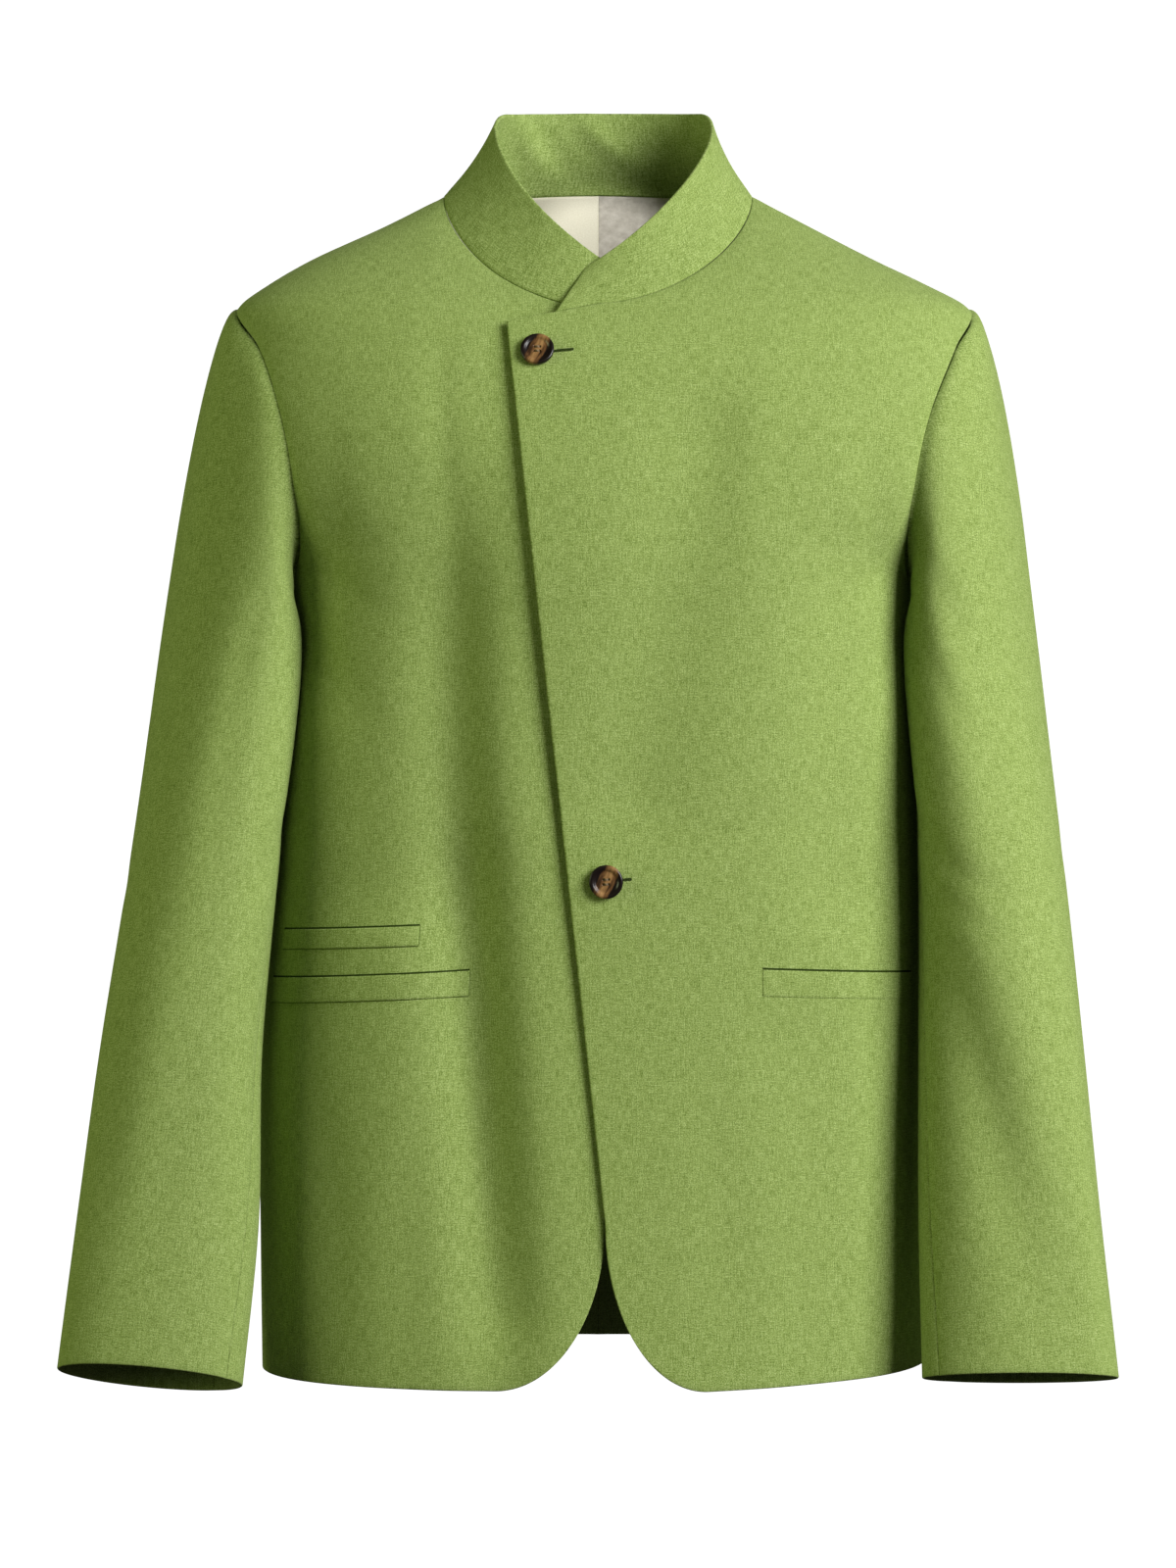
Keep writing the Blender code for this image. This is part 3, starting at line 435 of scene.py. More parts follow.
def body_value(name, z):
    return smooth(column(BODY, "z"), column(BODY, name), z)


def body_width(side, z):
    return body_value(SIDE_NAMES[side] + "_width", z)


def body_point(side, angle, z):
    """Point of the plain body form, before folds and laps."""
    c, s = np.cos(angle), np.sin(angle)
    depth = np.where(angle >= 0, body_value("front_depth", z), body_value("back_depth", z))
    x = side * body_width(side, z) * c * (1 + SQUARENESS * s * s)
    y = -depth * s * (1 + SQUARENESS * c * c)
    return stacked(x, y, z + 0 * x)


def body_normal(side, angle, z):
    """Outward direction of the plain body form."""
    turn, lift = 1e-3, 1e-4
    across = body_point(side, angle + turn, z) - body_point(side, angle - turn, z)
    upward = body_point(side, angle, z + lift) - body_point(side, angle, z - lift)
    return side * unit(np.cross(upward, across))


def angle_at(side, x, z):
    """Angle, on the front, of the place at distance x from the middle."""
    share = np.clip(x / body_width(side, z), -1, 1)
    angle = np.arccos(share)
    for _ in range(ANGLE_SEARCH_STEPS):
        c, s = np.cos(angle), np.sin(angle)
        error = c * (1 + SQUARENESS * s * s) - share
        slope = -s * (1 + SQUARENESS * s * s) + 2 * SQUARENESS * s * c * c
        angle = angle - error / np.where(np.abs(slope) < LEAST_SLOPE, -LEAST_SLOPE, slope)
    return angle


def edge_x(side, z):
    """Distance from the middle of a front's long edge."""
    share = (z - EDGE_LOW_Z) / (neck_z(side, EDGE_TOP_X[side]) - EDGE_LOW_Z)
    return EDGE_LOW_X[side] + (EDGE_TOP_X[side] - EDGE_LOW_X[side]) * share


def neck_z(side, x):
    """Height of the front neckline; past the middle it goes on falling towards the lap."""
    share = np.clip(x / body_width(side, NECK_SIDE_Z), 0, 1)
    drop = NECK_DROP * (1 - share**NECK_POWER) ** (1 / NECK_POWER)
    return np.where(x < 0, NECK_SIDE_Z - NECK_DROP + LAP_SLOPE * x, NECK_SIDE_Z - drop)


def fold_depth(side, x, z):
    """How far the folds move the cloth inward at a place on one side's front."""
    total = np.zeros(np.broadcast(x, z).shape)
    for fold in map(Fold._make, FOLDS[side]):
        run_x, run_z = fold.end_x - fold.start_x, fold.end_z - fold.start_z
        along = ((x - fold.start_x) * run_x + (z - fold.start_z) * run_z) / (run_x**2 + run_z**2)
        along = np.clip(along, 0, 1)
        off_x, off_z = x - fold.start_x - along * run_x, z - fold.start_z - along * run_z
        total = total + fold.depth * np.exp(-(off_x**2 + off_z**2) / fold.width**2)
    return total


def lap_depth(side, x, z):
    """How far the right front goes under, where the left one laps over it."""
    if side == LEFT:
        return np.zeros(np.broadcast(x, z).shape)
    hollow = LAP_HOLLOW * np.exp(-(((z - LAP_HOLLOW_Z) / LAP_HOLLOW_SPREAD) ** 2))
    past = (x + edge_x(LEFT, z) - LAP_MARGIN) / LAP_RAMP
    return (LAP_SINK + hollow + fold_depth(LEFT, -x, z)) * (1 - ease(past))


def panel(side, angle, z):
    """Points and outward directions of a body panel's outer face, folds and lap included."""
    points, normals = body_point(side, angle, z), body_normal(side, angle, z)
    x = side * points[..., 0]
    inward = np.where(angle > 0, fold_depth(side, x, z) + lap_depth(side, x, z), 0)
    return points - normals * inward[..., None], normals


def crease_depth(piece, u, v):
    """How far a piece's own creases move its cloth inward."""
    total = np.zeros(np.broadcast(u, v).shape)
    for crease in map(Crease._make, CREASES[piece]):
        run = np.array([crease.end_u - crease.start_u, crease.end_v - crease.start_v])
        length = np.hypot(*run)
        along = ((u - crease.start_u) * run[0] + (v - crease.start_v) * run[1]) / length
        off = ((v - crease.start_v) * run[0] - (u - crease.start_u) * run[1]) / length
        share = np.clip(along / length, 0, 1)
        off = off - crease.bow * 4 * share * (1 - share)
        past = np.maximum(np.maximum(-along, along - length), 0) / (CREASE_END_REACH * crease.width)
        taper = CREASE_END_SHARE + (1 - CREASE_END_SHARE) * np.sin(math.pi * share)
        total = total + crease.depth * taper * np.exp(-((off / crease.width) ** 2) - past**2)
    return total


def resample(curve, count):
    """Evenly spaced points, counted in divisions, along a curve of (angle, height) places."""
    steps = np.diff(curve, axis=0) * [BODY_REACH, 1.0]
    run = np.concatenate([[0], np.cumsum(np.hypot(steps[:, 0], steps[:, 1]))])
    at = np.linspace(0, run[-1], count + 1)
    return np.stack([np.interp(at, run, curve[:, k]) for k in range(2)], axis=-1)


def joined(first, second):
    return np.concatenate([first, second[1:]])


def coons(bottom, top, left, right):
    """Grid of places between four edges; rows run from the bottom edge to the top one."""
    u = np.linspace(0, 1, len(bottom))[None, :, None]
    v = np.linspace(0, 1, len(left))[:, None, None]
    between_rows = (1 - v) * bottom[None] + v * top[None]
    between_columns = (1 - u) * left[:, None] + u * right[:, None]
    low = (1 - u) * bottom[0] + u * bottom[-1]
    high = (1 - u) * top[0] + u * top[-1]
    return between_rows + between_columns - (1 - v) * low - v * high


def seam_angle(z, depth_name):
    """Angle that leaves half a seam's gap at the side and shoulder seams."""
    return SEAM_GAP / 2 / (body_value(depth_name, z) * (1 + SQUARENESS))


def armhole(turn, inset=0.0):
    """Angle and height of the armhole at a turn: 0 underarm, a quarter in front, a half at the shoulder."""
    middle = (ARMHOLE_TOP_Z + ARMHOLE_LOW_Z) / 2
    half = (ARMHOLE_TOP_Z - ARMHOLE_LOW_Z) / 2 - inset
    swing = np.where(np.sin(turn) >= 0, ARMHOLE_FRONT_ANGLE, ARMHOLE_BACK_ANGLE) - inset / ARMHOLE_REACH
    return swing * np.sin(turn), middle - half * np.cos(turn)


def side_seam(side, facing, depth_name, count):
    z = np.linspace(HEM_Z + HEM_SIDE_RISE[side], ARMHOLE_LOW_Z, CURVE_POINTS)
    return resample(stacked(facing * seam_angle(z, depth_name), z), count)


def armhole_edge(facing, depth_name, count):
    """Places of a panel along its half of the armhole, from the underarm to the shoulder."""
    angle, z = armhole(facing * np.linspace(0, math.pi, count + 1))
    return stacked(facing * np.maximum(facing * angle, seam_angle(z, depth_name)), z)


def panel_places(side, hem, low_edge, high_edge, facing, depth_name, columns):
    """Grid of places: curved rows up to the underarm, then straight ones that end at the armhole."""
    seam = side_seam(side, facing, depth_name, len(low_edge) - 1)
    arm = armhole_edge(facing, depth_name, len(high_edge) - 1)
    across = np.linspace(0, 1, columns + 1)[None, :, None]
    high = (1 - across) * high_edge[:, None] + across * arm[:, None]
    low = coons(resample(hem, columns), high[0], low_edge, seam)
    return np.concatenate([low[:-1], high])


def front_places(side, columns, rows):
    """Grid of (angle, height) places that covers one front, up to its shoulder seam."""
    swing = np.linspace(0, QUARTER, CURVE_POINTS)
    away_x = EDGE_LOW_X[side] + CUTAWAY_WIDTH[side] * (1 - np.cos(swing))
    away_z = EDGE_LOW_Z - (EDGE_LOW_Z - HEM_Z) * np.sin(swing)
    swing_angle = angle_at(side, away_x[HEM_CORNER:], away_z[HEM_CORNER:])
    rest_angle = np.linspace(swing_angle[-1], seam_angle(HEM_Z, "front_depth"), CURVE_POINTS)[1:]
    rest_z = HEM_Z + HEM_SIDE_RISE[side] * np.linspace(0, 1, len(rest_angle) + 1)[1:]
    hem_z = np.concatenate([away_z[HEM_CORNER:], rest_z])
    hem = stacked(np.concatenate([swing_angle, rest_angle]), hem_z)

    long_z = np.linspace(EDGE_LOW_Z, ARMHOLE_LOW_Z, CURVE_POINTS)
    low_z = np.concatenate([away_z[HEM_CORNER::-1], long_z[1:]])
    low_x = np.concatenate([away_x[HEM_CORNER::-1], edge_x(side, long_z[1:])])
    low_edge = stacked(angle_at(side, low_x, low_z), low_z)
    high_z = np.linspace(ARMHOLE_LOW_Z, float(neck_z(side, EDGE_TOP_X[side])), CURVE_POINTS)
    high_edge = stacked(angle_at(side, edge_x(side, high_z), high_z), high_z)

    lap_x = np.linspace(EDGE_TOP_X[side], 0, CURVE_POINTS)
    neck_x = body_width(side, NECK_SIDE_Z) * np.sin(np.linspace(0, QUARTER, CURVE_POINTS))
    neck_x = joined(lap_x, neck_x)
    neck_height = neck_z(side, neck_x)
    neck_angle = np.maximum(angle_at(side, neck_x, neck_height), seam_angle(neck_height, "front_depth"))
    neck = stacked(neck_angle, neck_height)
    middle = len(lap_x) - 1
    neck = joined(resample(neck[: middle + 1], rows.lap), resample(neck[middle:], rows.neck))
    high_edge = joined(resample(high_edge, rows.edge), neck)
    return panel_places(side, hem, resample(low_edge, rows.low), high_edge, 1, "front_depth", columns)


def back_neck(side, turn):
    """Angle and height of the back neckline at a plan turn: 0 at the side, a quarter at the centre back."""
    z = NECK_SIDE_Z + NECK_BACK_RISE * np.sin(turn) ** 2
    return -angle_at(side, body_width(side, NECK_SIDE_Z) * np.cos(turn), z), z


def back_places(side, columns, rows):
    """Grid of (angle, height) places that covers one half of the back, up to its shoulder seam."""
    def centre(z):
        return -(QUARTER - SEAM_GAP / 2 / (body_width(side, z) * (1 + SQUARENESS)))

    hem_angle = np.linspace(centre(HEM_Z), -seam_angle(HEM_Z, "back_depth"), CURVE_POINTS)
    middle_rise = (HEM_BACK_RISE - HEM_SIDE_RISE[side]) * np.sin(hem_angle) ** 2
    hem = stacked(hem_angle, HEM_Z + HEM_SIDE_RISE[side] + middle_rise)
    low_z = np.linspace(hem[0, 1], ARMHOLE_LOW_Z, CURVE_POINTS)
    high_z = np.linspace(ARMHOLE_LOW_Z, NECK_SIDE_Z + NECK_BACK_RISE, CURVE_POINTS)
    neck_angle, neck_height = back_neck(side, np.linspace(QUARTER, 0, CURVE_POINTS))
    neck_angle = np.clip(neck_angle, centre(neck_height), -seam_angle(neck_height, "back_depth"))
    neck = resample(stacked(neck_angle, neck_height), rows.neck)
    high_edge = joined(resample(stacked(centre(high_z), high_z), rows.edge), neck)
    low_edge = resample(stacked(centre(low_z), low_z), rows.low)
    return panel_places(side, hem, low_edge, high_edge, -1, "back_depth", columns)


def sleeve_ring(side, turn, z):
    """Point of a sleeve below its cap, at a turn round the arm and the height of the ring's middle."""
    rows = SLEEVES[side][::-1]
    read = {name: smooth(column(rows, "z"), column(rows, name), z) for name in SleeveRow._fields}
    tip, tilt, roll = (np.radians(read[name]) for name in ("turn", "tilt", "roll"))
    half = (read["outer_x"] - read["inner_x"]) / 2
    short = np.sqrt(half**2 - (read["half_depth"] * np.sin(tip)) ** 2) / np.cos(tip)
    out, back = -short * np.cos(turn), -read["half_depth"] * np.sin(turn)
    out, back = out * np.cos(tip) + back * np.sin(tip), back * np.cos(tip) - out * np.sin(tip)
    x = side * ((read["outer_x"] + read["inner_x"]) / 2 + out)
    y = read["centre_y"] + back * np.cos(tilt)
    return stacked(x, y, z - back * np.sin(tilt) + out * np.sin(roll))


def sleeve_point(side, turn, along):
    """Point of a sleeve: along runs 0 to 1 down the cap and 1 to 2 from there to the cuff."""
    rows = SLEEVES[side]
    down = np.clip(along - 1, 0, 1)
    ring = sleeve_ring(side, turn + RING_TWIST, rows[0].z + (rows[-1].z - rows[0].z) * down)
    start = body_point(side, *armhole(turn, SEAM_GAP))
    share = np.clip(along, 0, 1)[..., None]
    swell = CAP_SWELL * (1 + np.cos(turn))[..., None] * share * (1 - share) ** 2
    swell = swell * body_normal(side, *armhole(turn))
    quick = share ** CAP_ROUNDNESS[side]
    share = np.concatenate([quick, quick, share], axis=-1)
    return start + (ring - start) * share + swell


def sleeve(side, turn, along):
    """Points and outward directions of a sleeve's outer face."""
    step = 1e-3
    across = sleeve_point(side, turn + step, along) - sleeve_point(side, turn - step, along)
    onward = sleeve_point(side, turn, along + step) - sleeve_point(side, turn, np.maximum(along - step, 0))
    normals = side * unit(np.cross(onward, across))
    seam = body_normal(side, *armhole(turn))
    agree = (np.sum(seam * normals, axis=-1) - SEAM_FOLLOW_FROM) / SEAM_FOLLOW_SPAN
    follows = np.where(along < AT_SEAM, ease(agree), 0)[..., None]
    return sleeve_point(side, turn, along), unit(seam * follows + normals * (1 - follows))


def collar_point(place, up):
    """Point of the collar: place runs -1 to 1 from the right end round the back to the left end."""
    side = np.where(place < 0, RIGHT, LEFT)
    base, top = np.zeros(place.shape + (3,)), np.zeros(place.shape + (3,))
    share = np.abs(place)
    for each in (LEFT, RIGHT):
        behind = QUARTER * (1 - np.clip(share / COLLAR_SIDE_SHARE, 0, 1))
        ahead = np.clip((share - COLLAR_SIDE_SHARE) / (1 - COLLAR_SIDE_SHARE), 0, None)
        half = body_width(each, NECK_SIDE_Z)
        base_x = half * np.cos(ahead * math.acos(COLLAR_END_BASE_X / half))
        front_z = neck_z(each, base_x)
        back_angle, back_z = back_neck(each, behind)
        in_front = share > COLLAR_SIDE_SHARE
        angle = np.where(in_front, angle_at(each, base_x, front_z), back_angle)
        seat, outward = panel(each, angle, np.where(in_front, front_z, back_z))
        swing = ahead * math.acos(COLLAR_END_TOP_X / COLLAR_TOP_HALF)
        straight = COLLAR_TOP_STRAIGHT
        drop = COLLAR_TOP_DROP * (straight * (1 - np.cos(swing)) + (1 - straight) * np.sin(swing))
        corner = QUARTER * np.clip(behind / COLLAR_TOP_CORNER_ANGLE, 0, 1)
        rise = COLLAR_TOP_CORNER_RISE * np.sin(corner) + COLLAR_TOP_BACK_RISE * np.sin(behind)
        top_x = COLLAR_TOP_HALF * np.where(in_front, np.cos(swing), np.cos(behind))
        top_y = np.where(in_front, -COLLAR_TOP_FRONT * np.sin(swing), COLLAR_TOP_BACK * np.sin(behind))
        top_z = COLLAR_TOP_SIDE_Z + np.where(in_front, -drop, rise)
        sink = np.where(in_front, lap_depth(each, base_x, front_z), 0)
        rim = stacked(each * top_x + COLLAR_TOP_SHIFT, top_y, top_z)
        rim = rim - outward * sink[..., None] * COLLAR_LAP_LEAN
        here = side == each
        base[here], top[here] = seat[here], rim[here]
    away = unit(base * [1, 1, 0])
    bulge = COLLAR_BULGE * 4 * up * (1 - up) * np.clip((1 - share) / (1 - COLLAR_SIDE_SHARE), 0, 1)
    return base + (top - base) * up[..., None] + away * bulge[..., None]


def collar(place, up):
    """Points and outward directions of the collar's outer face."""
    step = 2e-3
    across = collar_point(place + step, up) - collar_point(place - step, up)
    upward = collar_point(place, up + step) - collar_point(place, up - step)
    return collar_point(place, up), unit(np.cross(upward, across))


def grid(first, second):
    return np.meshgrid(first, second, indexing="ij")


def body_map(side, angle, z):
    """Distances over the body's cloth, round from the middle and up, that carry the weave."""
    turn = 1e-3
    share = (np.arange(MAP_STEPS) + 0.5) / MAP_STEPS
    middle = np.where(angle >= 0, QUARTER, -QUARTER)
    at_angle = middle[..., None] + (angle - middle)[..., None] * share
    at_z = z[..., None] + 0 * share
    step = body_point(side, at_angle + turn, at_z) - body_point(side, at_angle - turn, at_z)
    across = (middle - angle) * np.linalg.norm(step, axis=-1).mean(axis=-1) / (2 * turn)
    lean = SHOULDER_LEAN * ease((z - SHOULDER_LEAN_FROM) / SHOULDER_LEAN_SPAN)
    behind = SHOULDER_LEAN_DEPTH - np.abs(body_point(side, angle, z)[..., 1])
    return stacked(across, z + lean * behind)


def run_lengths(points, axis):
    """Distance along the rows or columns of a grid, from its first point."""
    steps = np.linalg.norm(np.diff(points, axis=axis), axis=-1)
    start = np.zeros_like(np.take(steps, [0], axis=axis))
    return np.concatenate([start, np.cumsum(steps, axis=axis)], axis=axis)


def sewn_edges(shape, first_row=FREE, last_row=FREE, first_column=FREE, last_column=FREE):
    """Grid that is true along the sewn edges; each one is given by the index where its sewing starts."""
    sewn = np.zeros(shape, dtype=bool)
    sewn[0, first_row:] = sewn[-1, last_row:] = True
    sewn[first_column:, 0] = sewn[last_column:, -1] = True
    return sewn


def seam_dip(points, sewn, depth):
    """How far the cloth is drawn in beside its sewn edges."""
    dip = np.zeros(sewn.shape)
    for axis in (0, 1):
        run = run_lengths(points, axis)
        for end, away in ((0, run), (-1, np.take(run, [-1], axis=axis) - run)):
            edge = np.take(sewn, [end], axis=axis)
            dip = np.maximum(dip, np.where(edge, np.exp(-((away / SEAM_DIP_WIDTH) ** 2)), 0))
    return depth * dip


def rim_outward(points, normals):
    """Boundary of a grid in order, with the direction that leaves the cloth there and the room behind it."""
    rows, columns = points.shape[:2]
    loop = [(0, j) for j in range(columns - 1)] + [(i, columns - 1) for i in range(rows - 1)]
    loop += [(rows - 1, j) for j in range(columns - 1, 0, -1)] + [(i, 0) for i in range(rows - 1, 0, -1)]
    i, j = np.array(loop).T
    here, out, room = points[i, j], np.zeros((len(loop), 3)), np.full(len(loop), 1.0)
    edges = ((i == 0, 1, 0), (i == rows - 1, -1, 0), (j == 0, 0, 1), (j == columns - 1, 0, -1))
    for at_edge, di, dj in edges:
        behind = points[np.where(at_edge, i + di, i), np.where(at_edge, j + dj, j)]
        away = here - behind
        room = np.where(at_edge, np.minimum(room, np.linalg.norm(away, axis=-1)), room)
        out = out + unit(away) * at_edge[:, None]
    facing = normals[i, j]
    out = unit(out - facing * np.sum(out * facing, axis=-1, keepdims=True))
    return i, j, out, room


def cloth_mesh(name, points, normals, thickness, sewn, place):
    """Closed cloth wall: free rims are rounded, sewn ones nearly square; place maps its weave, in metres."""
    rows, columns = points.shape[:2]
    i, j, out, room = rim_outward(points, normals)
    reach = np.where(sewn[i, j], SEAM_REACH, thickness / 2)
    reach = np.minimum(reach, RIM_ROOM_SHARE * room)[:, None]
    outer = points.copy()
    outer[i, j] = points[i, j] - out * reach
    inner = outer - normals * thickness
    middle = (outer[i, j] + inner[i, j]) / 2
    layers = [outer.reshape(-1, 3), inner.reshape(-1, 3)]
    for turn in np.linspace(0, math.pi, RIM_STEPS + 1)[1:-1]:
        layers.append(middle + normals[i, j] * thickness / 2 * math.cos(turn) + out * reach * math.sin(turn))
    places = np.concatenate([place.reshape(-1, 2)] * 2 + [place[i, j]] * (RIM_STEPS - 1))

    number = np.arange(rows * columns).reshape(rows, columns)
    quads = stacked(number[:-1, :-1], number[:-1, 1:], number[1:, 1:], number[1:, :-1])
    quads = quads.reshape(-1, 4)
    rings = [number[i, j]]
    rings += [2 * rows * columns + k * len(i) + np.arange(len(i)) for k in range(RIM_STEPS - 1)]
    rings.append(number[i, j] + rows * columns)
    faces = [quads, quads[:, ::-1] + rows * columns]
    for first, second in zip(rings, rings[1:]):
        faces.append(stacked(first, second, np.roll(second, -1), np.roll(first, -1)))
    faces = np.concatenate(faces)
    middle_face = points[rows // 2 : rows // 2 + 2, columns // 2 : columns // 2 + 2]
    across, upward = middle_face[0, 1] - middle_face[0, 0], middle_face[1, 0] - middle_face[0, 0]
    if np.dot(np.cross(across, upward), normals[rows // 2, columns // 2]) < 0:
        faces = faces[:, ::-1]

    data = bpy.data.meshes.new(name)
    data.from_pydata(np.concatenate(layers).tolist(), [], faces.tolist())
    corners = np.empty(len(data.loops), dtype=np.int32)
    data.loops.foreach_get("vertex_index", corners)
    data.uv_layers.new(name="cloth").data.foreach_set("uv", places[corners].ravel())
    data.shade_smooth()
    return data


def linked(name, data):
    """New object in the scene."""
    made = bpy.data.objects.new(name, data)
    bpy.context.scene.collection.objects.link(made)
    return made


def finished(mesh, name):
    """Mesh data from a mesh under construction, which is freed."""
    data = bpy.data.meshes.new(name)
    mesh.to_mesh(data)
    mesh.free()
    return data


def add_piece(name, data, material, slot, *nodes):
    """Object of the blazer that rides on its body and stands for the given nodes."""
    piece = linked(name, data)
    piece.data.materials.append(material)
    if nodes:
        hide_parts(*nodes)
    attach(piece, "root")
    return piece


def add_cloth(node, surface, thickness, slot, sewn, place, inward, outset=0.0, dip=SEAM_DIP):
    """Cloth shell in place of a node; inward is how far its creases move it in."""
    points, normals = surface
    points = points - normals * (inward + seam_dip(points, sewn, dip))[..., None]
    data = cloth_mesh(node + "_cloth", points + normals * outset, normals, thickness, sewn, place)
    cloth[node] = add_piece(node + "_cloth", data, materials[slot], slot, node)


def make_fronts_and_backs():
    neck_row = FRONT_ROWS.low + FRONT_ROWS.edge + FRONT_ROWS.lap // 2
    for side, name in SIDE_NAMES.items():
        for node, places, first_sewn in (
            ("front_" + name, front_places(side, FRONT_COLUMNS, FRONT_ROWS), neck_row),
            ("back_" + name, back_places(side, BACK_COLUMNS, BACK_ROWS), 0),
        ):
            surface = panel(side, places[..., 0], places[..., 1])
            inward = crease_depth(node, side * surface[0][..., 0], places[..., 1])
            sewn = sewn_edges(inward.shape, last_row=0, first_column=first_sewn, last_column=0)
            place = body_map(side, places[..., 0], places[..., 1])
            add_cloth(node, surface, BODY_WALL, "wool_green", sewn, place, inward)


def softened(points, share):
    """Points of a sleeve with the bend below its cap rounded; share says how much each one may move."""
    for _ in range(SOFTEN_PASSES):
        between = (points[:, :-2] + 2 * points[:, 1:-1] + points[:, 2:]) / 4
        points = points.copy()
        points[:, 1:-1] += (between - points[:, 1:-1]) * share[:, 1:-1, None]
    return points


def make_sleeves():
    along = np.concatenate([
        np.linspace(0, 1, SLEEVE_ROWS[0] + 1) ** CAP_CROWDING,
        1 + np.linspace(0, 1, SLEEVE_ROWS[1] + 1)[1:],
    ])
    slack = SEAM_GAP / 2 / SLEEVE_REACH
    back_seam, front_seam = -BACK_SEAM_STEP * SEAM_TURN, FRONT_SEAM_STEP * SEAM_TURN
    cuts = {"under_sleeve_": (back_seam, front_seam), "top_sleeve_": (front_seam, back_seam + 2 * math.pi)}
    for side, name in SIDE_NAMES.items():
        for piece, (first, last) in cuts.items():
            count = round(SLEEVE_COLUMNS * (last - first) / (2 * math.pi))
            turn, down = grid(np.linspace(first + slack, last - slack, count + 1), along)
            points, normals = sleeve(side, turn, down)
            points = softened(points, np.exp(-(((down - 1) / SOFTEN_SPREAD) ** 2)))
            inward = crease_depth("sleeve_" + name, turn * SLEEVE_REACH, points[..., 2])
            inward = inward * ease(down / CREASE_FREE_SHARE)
            sewn = sewn_edges(inward.shape, first_row=0, last_row=0, first_column=0)
            run = run_lengths(points, 1)
            place = stacked(turn * SLEEVE_REACH, run[:, -1:] - run)
            add_cloth(piece + name, (points, normals), SLEEVE_WALL, "wool_green", sewn, place, inward)


def make_collar():
    place, up = grid(np.linspace(-1, 1, COLLAR_COLUMNS + 1),
                     np.linspace(COLLAR_SEAM_GAP / COLLAR_LEAST_HEIGHT, 1, COLLAR_ROWS + 1))
    inward = crease_depth("collar", place * COLLAR_REACH, up * COLLAR_LEAST_HEIGHT)
    inward = inward * ease(up / CREASE_FREE_SHARE)
    sewn = sewn_edges(inward.shape, first_column=0)
    surface = collar(place, up)
    weave = stacked(place * COLLAR_REACH, run_lengths(surface[0], 1))
    add_cloth("collar", surface, COLLAR_WALL, "wool_green", sewn, weave, inward, dip=NECK_DIP)


def make_lining():
    """Lining halves on the back's own form, moved in, up to the collar at the neckline."""
    first = BACK_ROWS.low + round(LINING_FIRST_SHARE * BACK_ROWS.edge)
    last = round(LINING_WIDTH_SHARE * BACK_COLUMNS)
    for side, name in SIDE_NAMES.items():
        places = back_places(side, BACK_COLUMNS, BACK_ROWS)[first:-LINING_SHORT_ROWS, : last + 1]
        points, normals = panel(side, places[..., 0], places[..., 1])
        inward = crease_depth("back_" + name, side * points[..., 0], places[..., 1])
        sewn = sewn_edges(inward.shape, 0, 0, 0, 0)
        slot = "lining_cream" if side == RIGHT else "lining_grey"
        place = body_map(side, places[..., 0], places[..., 1])
        add_cloth("neck_lining_" + name, (points, normals), LINING_WALL, slot, sewn, place, inward,
                  outset=-BODY_WALL - LINING_GAP, dip=0.0)


def strip_surface(welt, first_drop, last_drop, divisions):
    """Points, directions and map of a strip of a front, between two drops below a welt's top line."""
    ends = angle_at(welt.side, np.array([welt.inner_x, welt.outer_x]), np.full(2, welt.top_z))
    columns, rows = divisions
    angle, drop = grid(np.linspace(*ends, columns + 1), np.linspace(first_drop, last_drop, rows + 1))
    across = np.abs(body_point(welt.side, angle, np.full(angle.shape, welt.top_z))[..., 0])
    height = welt.top_z - drop - welt.fall * (across - welt.inner_x)
    points, normals = panel(welt.side, angle, height)
    inward = crease_depth("front_" + SIDE_NAMES[welt.side], across, height)
    return points - normals * inward[..., None], normals, body_map(welt.side, angle, height)


def make_welts():
    """Welts on the fronts, each with a painted shade line at its pocket's mouth, and the right ones also at
    the lower seam and inner end.
    """
    for welt in WELTS:
        points, normals, place = strip_surface(welt, 0, welt.height, WELT_DIVISIONS)
        sewn = sewn_edges(points.shape[:2], first_row=0, last_row=0, last_column=0)
        points = points + normals * WELT_RISES[welt.side]
        name = welt.name + "_cloth"
        data = cloth_mesh(name, points, normals, WELT_WALL, sewn, place)
        cloth[welt.name] = add_piece(name, data, materials["wool_green"], "wool_green", welt.name)
        pocket_lines[welt.name] = []
        end = welt._replace(inner_x=welt.inner_x - WELT_END_WIDTH, outer_x=welt.inner_x + MOUTH_TUCK)
        low = welt.height
        # Each line is a strip of painted shade: the pocket's mouth, the welt's lower seam and its inner end
        for line, look, strip, first_drop, last_drop, divisions in (
            ("_mouth", "mouth", welt, -MOUTH_WIDTH, MOUTH_TUCK, MOUTH_DIVISIONS),
            ("_seam", "welt_seam", welt, low - MOUTH_TUCK, low + WELT_SEAM_WIDTH, MOUTH_DIVISIONS),
            ("_end", "welt_seam", end, 0, low, MOUTH_DIVISIONS[::-1]),
        ):
            name = welt.name + line
            if name in LINES_LEFT_OUT:
                continue
            points, normals, place = strip_surface(strip, first_drop, last_drop, divisions)
            points = points + normals * MOUTH_RISE
            sewn = sewn_edges(points.shape[:2], 0, 0, 0, 0)
            data = cloth_mesh(name, points, normals, MOUTH_WALL, sewn, place)
            pocket_lines[welt.name].append(add_piece(name, data, materials[look], "wool_green"))


def left_front_place(x, z):
    """Points and outward directions of the left front's cloth at places across and up."""
    points, normals = panel(LEFT, angle_at(LEFT, x, z), z)
    return points - normals * crease_depth("front_left", x, z)[..., None], normals


